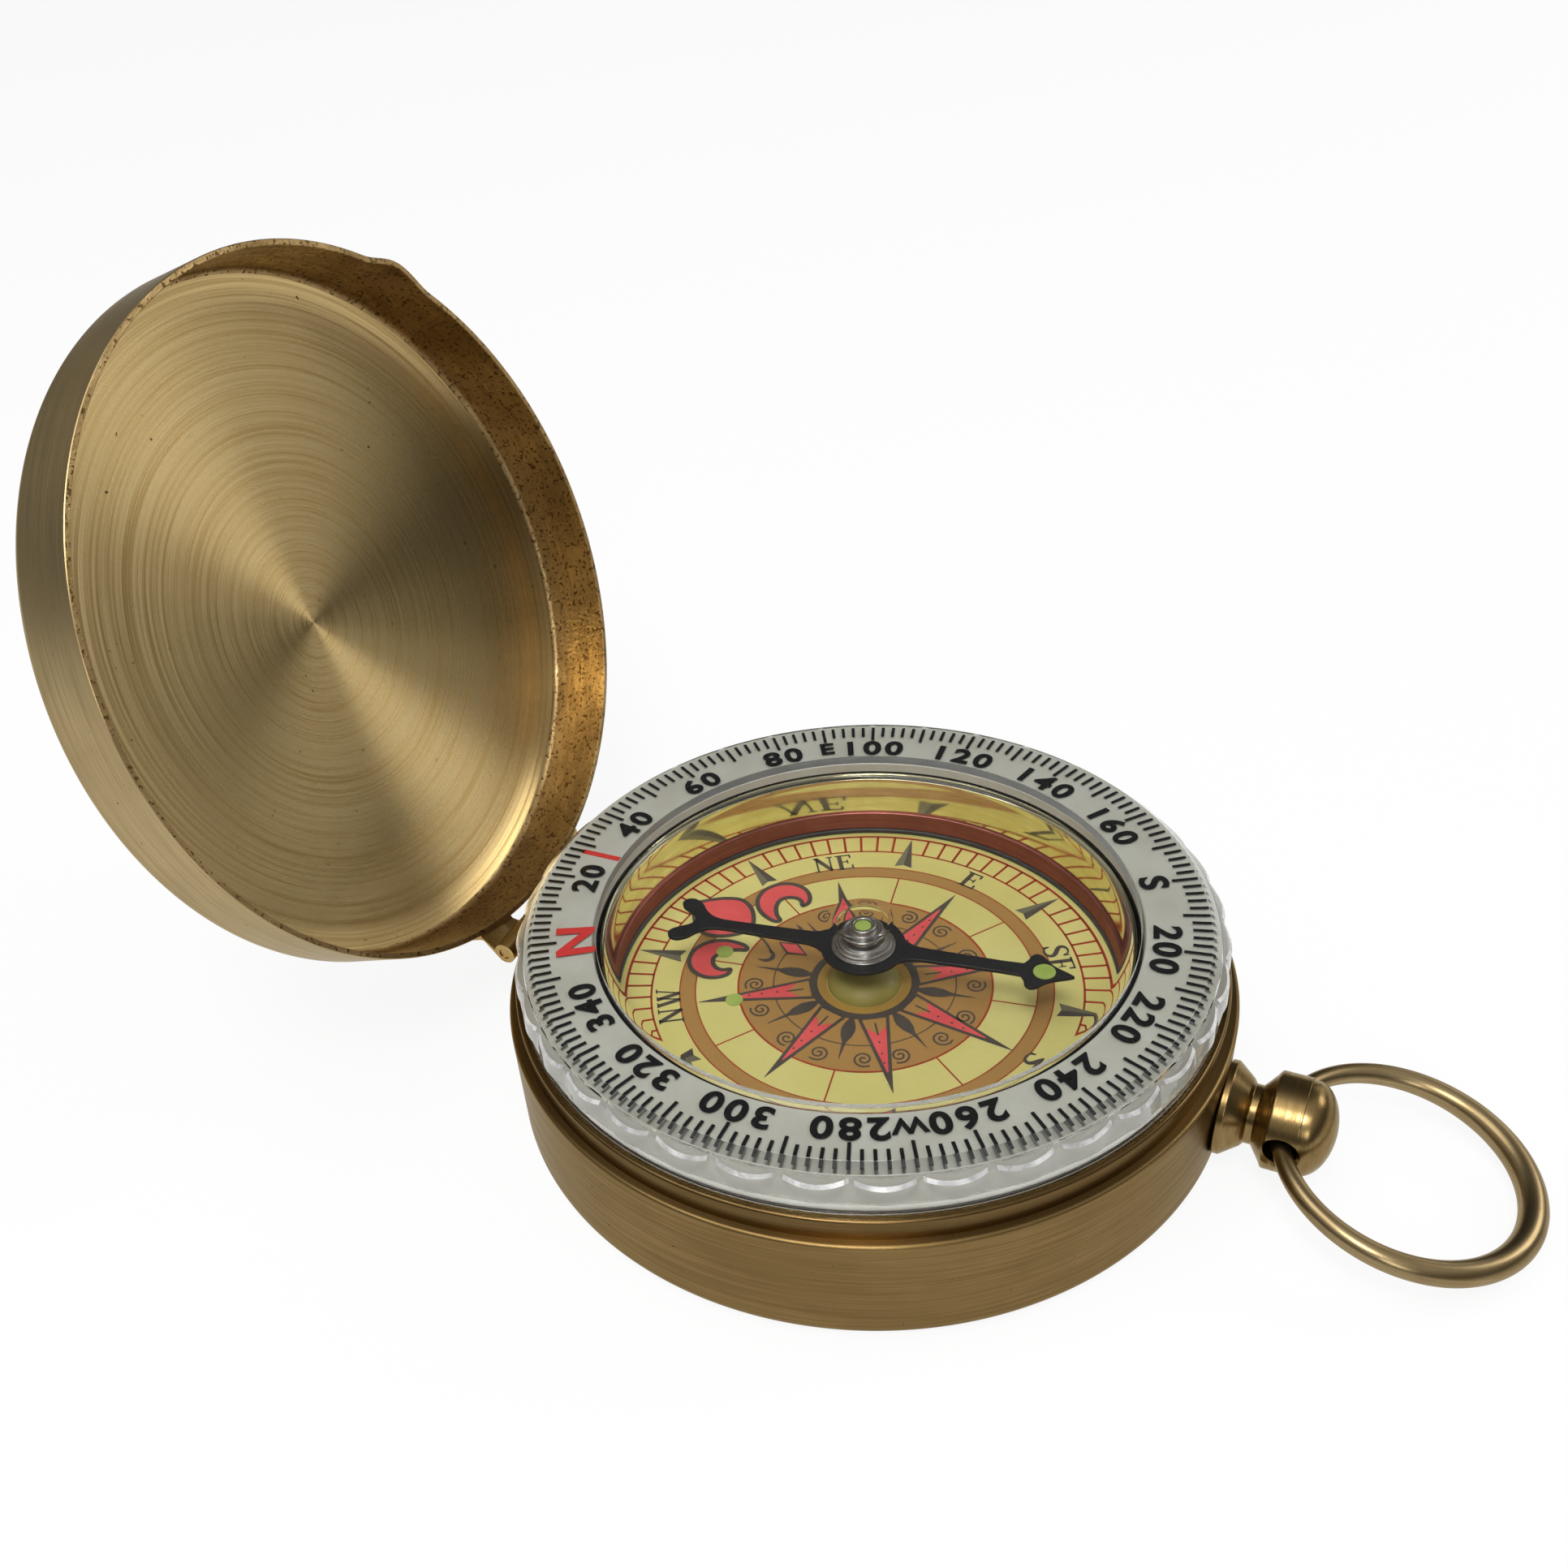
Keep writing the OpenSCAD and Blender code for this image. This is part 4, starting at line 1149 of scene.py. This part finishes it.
def buildBoss():
    b = bossBuild
    low, high = reach("pivot_boss")
    outer = high.x
    wellFloor = high.z - b["wellDeep"]
    dome = [(outer * cos(radians(a)), dialTop + (high.z - dialTop) * sin(radians(a)))
            for a in range(0, 90, 6)]
    profile = [(0, low.z), (b["stalk"], low.z), (b["stalk"], dialTop)] + dome
    profile += [(b["wellR"], high.z), (b["wellR"], wellFloor), (0, wellFloor)]
    addPiece("pivotBoss", lathe(profile, 96), bossPlastic, "case", ["pivot_boss"])


buildCapsule()
buildCrystal()
buildLuminousRing()
buildBoss()
print("rings and window built")


# Bezel: clear, with grip lobes, a chamfer, a plain skirt and painted glints on the lobes' top facets
bezelLow, bezelHigh = reach("bezel_ring")
bezelBuild = {
    "lobes": 36, "steps": 14, "valley": 0.4, "plate": 0.65, "chamferW": 1.3, "chamferH": 1.15,
    "skirtH": 1.1, "skirtIn": 0.15, "wall": 0.75, "facetLow": 0.14, "facetIn": 0.2, "facetUp": 0.12,
    "plateBore": 18.32, "groove": 0.31, "grooveH": 0.78, "dash": 1, "lip": 0.05, "least": 0.06,
}
lobeOut = bezelHigh.x


def lobeRadius(degrees):
    b = bezelBuild
    half = pi / b["lobes"]
    valleyR = lobeOut - b["valley"]
    rise = lobeOut - valleyR * cos(half)
    r = (rise * rise + (valleyR * sin(half)) ** 2) / (2 * rise)
    t = (radians(degrees) % (2 * half)) - half
    return (lobeOut - r) * cos(t) + math.sqrt(r * r - ((lobeOut - r) * sin(t)) ** 2)


def buildBezel():
    b = bezelBuild
    bore = lobeOut - b["wall"]
    skirtR = lobeOut - b["skirtIn"]
    low, top = bezelLow.z, bezelHigh.z
    lobeLow = low + b["skirtH"]
    shape = newShape()
    rings = []
    count = b["lobes"] * b["steps"]
    columns = []
    for i in range(count):
        degrees = 360 * i / count
        outer = lobeRadius(degrees)
        meet = top - b["chamferH"] + (lobeOut - outer) * b["chamferH"] / b["chamferW"]
        under = (outer + b["lip"], lobeLow, 0.02)
        if outer + b["lip"] <= skirtR + b["least"]:
            under = (skirtR + b["least"], lobeLow + 0.001, 0.001)
        columns.append((radians(degrees), roundCorners([
            (bore + b["groove"], low, 0.05), (skirtR, low, 0.08), (skirtR, lobeLow, 0.02), under,
            (outer, meet - b["facetLow"], 0.03), (outer - b["facetIn"], meet + b["facetUp"], 0.03),
            (lobeOut - b["chamferW"], top, 0.1), (b["plateBore"], top, 0.03),
            (b["plateBore"], top - b["plate"], 0.04), (bore, top - b["plate"], 0.05),
            (bore, low + b["grooveH"], 0.02), (bore + b["groove"], low + b["grooveH"], 0.02),
        ], 4)))
    for k in range(len(columns[0][1])):
        start = len(shape["points"])
        for a, profile in columns:
            r, z = profile[k]
            shape["points"].append((*onCircle(r, a), z))
        rings.append(list(range(start, start + count)))
    joinRings(shape, rings, True)
    first = columns[b["steps"] // 2][1]
    for k, (r, z) in enumerate(first):
        nextR, nextZ = first[(k + 1) % len(first)]
        if max(abs(r - b["plateBore"]), abs(nextR - b["plateBore"])) < 0.035:
            shape["zones"][k * count:(k + 1) * count] = [1] * count
        # The lobes' top facets take the painted glint finish in dashes, leaving each lobe's ends clear
        if b["facetIn"] * 0.6 < r - nextR < b["facetIn"] * 1.1 and 0 < nextZ - z < 0.4:
            for i in range(count):
                if b["dash"] <= i % b["steps"] < b["steps"] - b["dash"]:
                    shape["zones"][k * count + i] = 2
    addPiece("bezelRing", shape, [clearBezel, frostedWall, paintedLobeGlint], "bezel",
             ["bezel_ring"], sharp=40)


printBuild = {
    "zero": 209.8, "ticks": 180, "tickOut": 22.78, "longIn": 21.02, "shortIn": 21.55, "tickW": 0.23,
    "figureIn": 19.04, "figureH": 1.86, "widen": 1.13, "bold": 0.032, "apart": 1.22,
    "letters": {"E": (90, 19.4, 1.5), "W": (270, 19.2, 1.3), "S": (180, 18.8, 2.0)},
    "north": (18.4, 2.68), "below": 0.004, "thick": 0.02,
}


# Flat outline of a word in the built-in sans face, one unit high and centred
def flatWord(word, bold):
    curve = bpy.data.curves.new("word", "FONT")
    curve.body = word
    curve.align_x = "CENTER"
    curve.offset = bold
    curve.space_character = printBuild["apart"]
    curve.resolution_u = 6
    helper = bpy.data.objects.new("word", curve)
    scene.collection.objects.link(helper)
    mesh = evaluatedMesh(helper)
    bpy.data.objects.remove(helper)
    work = bmesh.new()
    work.from_mesh(mesh)
    bmesh.ops.remove_doubles(work, verts=work.verts, dist=0.0001)
    work.verts.index_update()
    points = [(v.co.x, v.co.y) for v in work.verts]
    faces = [[v.index for v in face.verts] for face in work.faces]
    work.free()
    low = min(y for x, y in points)
    height = max(y for x, y in points) - low
    return [(x / height, (y - low) / height) for x, y in points], faces


# Bends a flat word round the ring and gives it the thickness of ink
def addWord(shape, word, degrees, inner, height, low, high):
    points, faces = flatWord(word, printBuild["bold"])
    start = len(shape["points"])
    middle = inner + height / 2
    ring = []
    for x, y in points:
        a = radians(printBuild["zero"] - degrees) - x * height * printBuild["widen"] / middle
        ring.append(onCircle(inner + y * height, a))
    shape["points"] += [(x, y, low) for x, y in ring] + [(x, y, high) for x, y in ring]
    count = len(points)
    once = {}
    for face in faces:
        addFace(shape, [start + i for i in reversed(face)])
        addFace(shape, [start + count + i for i in face])
        for i, j in zip(face, face[1:] + face[:1]):
            once[(i, j)] = (j, i) not in once
            if (j, i) in once:
                once[(j, i)] = False
    for (i, j), alone in once.items():
        if alone:
            addFace(shape, (start + i, start + j, start + count + j, start + count + i))


def buildPrint():
    b = printBuild
    high = reach("bezel_scale")[1].z - b["below"]
    low = high - b["thick"]
    black, red = newShape(), newShape()
    for i in range(b["ticks"]):
        a = radians(b["zero"] - 360 * i / b["ticks"])
        inner = b["longIn"] if i % 5 == 0 else b["shortIn"]
        addStroke(black, [onCircle(r, a) for r in (inner, b["tickOut"])], b["tickW"], low, high)
    for degrees in range(20, 360, 20):
        if degrees != 180:
            addWord(black, str(degrees), degrees, b["figureIn"], b["figureH"], low, high)
    for letter, (degrees, inner, height) in b["letters"].items():
        addWord(black, letter, degrees, inner, height, low, high)
    addWord(red, "N", 0, *b["north"], low, high)
    addPiece("scalePrint", black, blackInk, "bezel", ["bezel_scale"])
    addPiece("northPrint", red, redPaint, "bezel")


buildBezel()
buildPrint()
print("bezel built and printed")


# Needle: a black blade, a silver hub and luminous dots
bladeLow, bladeHigh = reach("needle_blade")
needleBuild = {
    "angle": 8.0, "hubR": 2.95, "spigot": 2.0, "dotAt": 12.37, "dotR": 0.75, "dotSeat": 0.12,
    "dotProud": 0.08, "soft": 0.03,
    "head": [(14.35, 0.03), (13.9, 0.28), (13.2, 0.6), (12.6, 1.0), (12.1, 1.55), (11.65, 1.72),
             (11.3, 1.45), (11.15, 1.0), (10.9, 0.6)],
    "frontArm": [(9.5, 0.55), (4.6, 0.63), (3.7, 0.68), (3.2, 0.84)],
    "rearArm": [(-3.2, 0.84), (-3.7, 0.68), (-4.6, 0.63), (-9.4, 0.5)],
    "tail": [(-10.3, 0.5), (-11.1, 0.68), (-11.75, 1.15), (-12.3, 1.85), (-12.95, 2.25), (-13.55, 2.15),
             (-13.8, 1.7), (-13.6, 1.25), (-13.05, 0.85), (-12.5, 0.45), (-12.3, 0.02)],
}


def buildNeedle():
    b = needleBuild
    low, high = bladeLow.z, bladeHigh.z
    side = smoothPath(b["head"], 5, False) + b["frontArm"]
    side += [onCircle(b["hubR"], radians(a)) for a in range(24, 158, 6)]
    side += b["rearArm"] + smoothPath(b["tail"], 5, False)
    outline = side + [(x, -y) for x, y in reversed(side)]
    shape = newShape()
    addPrism(shape, outline, low, high)
    turn = spin(b["angle"], "Z")
    blade = addPiece("needleBlade", moveShape(shape, turn), blackEnamel, "needle",
                     ["needle_blade"], sharp=25)
    cutAway(blade, bar(b["spigot"], low - 1, high + 1), 25)
    soften = blade.modifiers.new("soften", "BEVEL")
    soften.width = b["soft"] * mm
    soften.segments = 2
    soften.limit_method = "ANGLE"
    soften.angle_limit = radians(50)
    seat, top = low + b["dotSeat"], high + b["dotProud"]
    dot = roundCorners([(0, seat), (b["dotR"], seat), (b["dotR"], top, 0.06), (0, top + 0.02)], 3)
    spot = turn @ Matrix.Translation((b["dotAt"], 0, 0))
    addPiece("tipDot", moveShape(lathe(dot, 40), spot), greenLume, "needle", ["tip_dot"])


hubBuild = {
    "bore": 0.6, "boreDeep": 0.95, "dotR": 0.57, "dotSunk": 0.3,
    # Turned steps over the blade as radius, height and rounding, then the rim of the dot's socket
    "steps": [(2.0, 0, 0), (2.2, 0, 0.03), (2.2, 0.12, 0.05), (1.98, 0.14, 0.02), (1.92, 0.3, 0.04),
              (1.8, 0.33, 0.02), (1.7, 0.5, 0.04), (1.58, 0.53, 0.02), (1.48, 0.66, 0.04),
              (1.02, 0.7, 0.02), (1.0, 1.22, 0.02), (1.46, 1.26, 0.03), (1.46, 1.42, 0.08),
              (1.28, 1.44, 0.05), (1.18, 1.32, 0.03), (0.92, 1.3, 0.03)],
    "rim": [(0.9, 0, 0.09), (0.62, 0, 0.08), (0.59, -0.3, 0), (0, -0.32, 0)],
}


def buildHub():
    b = hubBuild
    low, top = bladeLow.z, bladeHigh.z
    socket = reach("needle_hub")[1].z
    profile = [(b["bore"], low), (needleBuild["spigot"], low, 0.04)]
    profile += [(r, top + height, edge) for r, height, edge in b["steps"]]
    profile += [(r, socket + height, edge) for r, height, edge in b["rim"]]
    profile += [(0, low + b["boreDeep"]), (b["bore"], low + b["boreDeep"])]
    addPiece("needleHub", lathe(roundCorners(profile), 96), hubSilver, "needle", ["needle_hub"])
    seat = socket - b["dotSunk"]
    dot = roundCorners([(0, seat), (b["dotR"], seat), (b["dotR"], socket - 0.09, 0.05),
                        (0, socket - 0.06)], 3)
    addPiece("hubDot", lathe(dot, 40), greenLume, "needle", ["hub_dot"])


buildNeedle()
buildHub()
print("needle built")


# Frame nodes that keep their shape and get a finish
keptNodes = {
    "case_knuckle": hingeBrass, "hinge_pin": hingeBrass, "inner_tray": blackPlastic,
    "bezel_spring": whitePlastic, "pendant_nut": hingeBrass, "needle_jewel": jewelRed,
    "pivot_pin": steelTurned, "index_mark": redPaint,
}
for node, finish in keptNodes.items():
    cadNodes[node].data.materials.clear()
    cadNodes[node].data.materials.append(finish)
print("frame nodes finished")


# Floor, lamps and sky
studio = {
    "floorSize": 8.0, "floorColour": 0.92, "floorWhite": 0.9, "skyTop": 0.66, "skyLow": 0.09,
    "skyFade": (0.3, 0.85), "dimAzimuth": 113, "dimHeight": 43, "dimEdge": (0.78, 0.93), "dimmed": 0.14,
    # Each lamp as azimuth, height angle, distance in mm, size in mm and watts
    "lamps": ((42, 32, 460, 170, 0.34), (66, 18, 460, 240, 0.14), (-150, 74, 460, 260, 0.45),
              (-76, 62, 460, 150, 0.85), (-64, 28, 460, 120, 0.2)),
}


def buildFloor():
    half = studio["floorSize"] / 2
    mesh = bpy.data.meshes.new("floor")
    mesh.from_pydata([(-half, -half, 0), (half, -half, 0), (half, half, 0), (-half, half, 0)], [],
                     [(0, 1, 2, 3)])
    floor = bpy.data.objects.new("floor", mesh)
    scene.collection.objects.link(floor)
    finish, shader = newFinish("floorWhite", (studio["floorColour"],) * 3, Roughness=0.9)
    shader.inputs["Specular IOR Level"].default_value = 0.0
    path = addNode(finish, "LightPath").outputs
    seen = calculate(finish, "MAXIMUM", path["Is Camera Ray"], path["Is Glossy Ray"])
    seen = calculate(finish, "MAXIMUM", seen, path["Is Transmission Ray"])
    share = calculate(finish, "MULTIPLY", seen, studio["floorWhite"])
    white = addNode(finish, "Emission", {"Color": (1, 1, 1, 1), "Strength": 1.0}).outputs[0]
    mix = addNode(finish, "MixShader", {0: share, 1: shader.outputs[0], 2: white}).outputs[0]
    link(finish, mix, finish.node_tree.nodes["Material Output"].inputs["Surface"])
    mesh.materials.append(finish)


def skyward(azimuth, height):
    turn, lift = radians(azimuth), radians(height)
    return Vector((cos(turn) * cos(lift), sin(turn) * cos(lift), sin(lift)))


def buildLamps():
    for number, (azimuth, height, distance, size, watts) in enumerate(studio["lamps"]):
        place = skyward(azimuth, height) * distance
        data = bpy.data.lights.new("lamp" + str(number), "AREA")
        data.shape = "DISK"
        data.size = size * mm
        data.energy = watts
        lamp = bpy.data.objects.new(data.name, data)
        lamp.location = place * mm
        lamp.rotation_euler = (-place).to_track_quat("-Z", "Y").to_euler()
        scene.collection.objects.link(lamp)


# A sky that is brighter overhead, and dimmer where the flat windows would mirror it
def buildSky():
    sky = bpy.data.worlds.new("sky")
    sky.use_nodes = True
    scene.world = sky
    look = addNode(sky, "TexCoord").outputs["Generated"]
    height = addNode(sky, "SeparateXYZ", {0: look}).outputs[2]
    light = spread(sky, height, *studio["skyFade"], studio["skyLow"], studio["skyTop"])
    dim = tuple(skyward(studio["dimAzimuth"], studio["dimHeight"]))
    facing = addNode(sky, "VectorMath", {0: look, 1: dim}, operation="DOT_PRODUCT").outputs["Value"]
    shade = spread(sky, facing, *studio["dimEdge"], 1.0, studio["dimmed"])
    light = calculate(sky, "MULTIPLY", light, shade)
    light = calculate(sky, "MAXIMUM", light, addNode(sky, "LightPath").outputs["Is Camera Ray"])
    background = sky.node_tree.nodes["Background"]
    background.inputs["Color"].default_value = (1, 1, 1, 1)
    link(sky, light, background.inputs["Strength"])


buildFloor()
buildLamps()
buildSky()
scene.view_settings.view_transform = "Standard"
print("studio set")
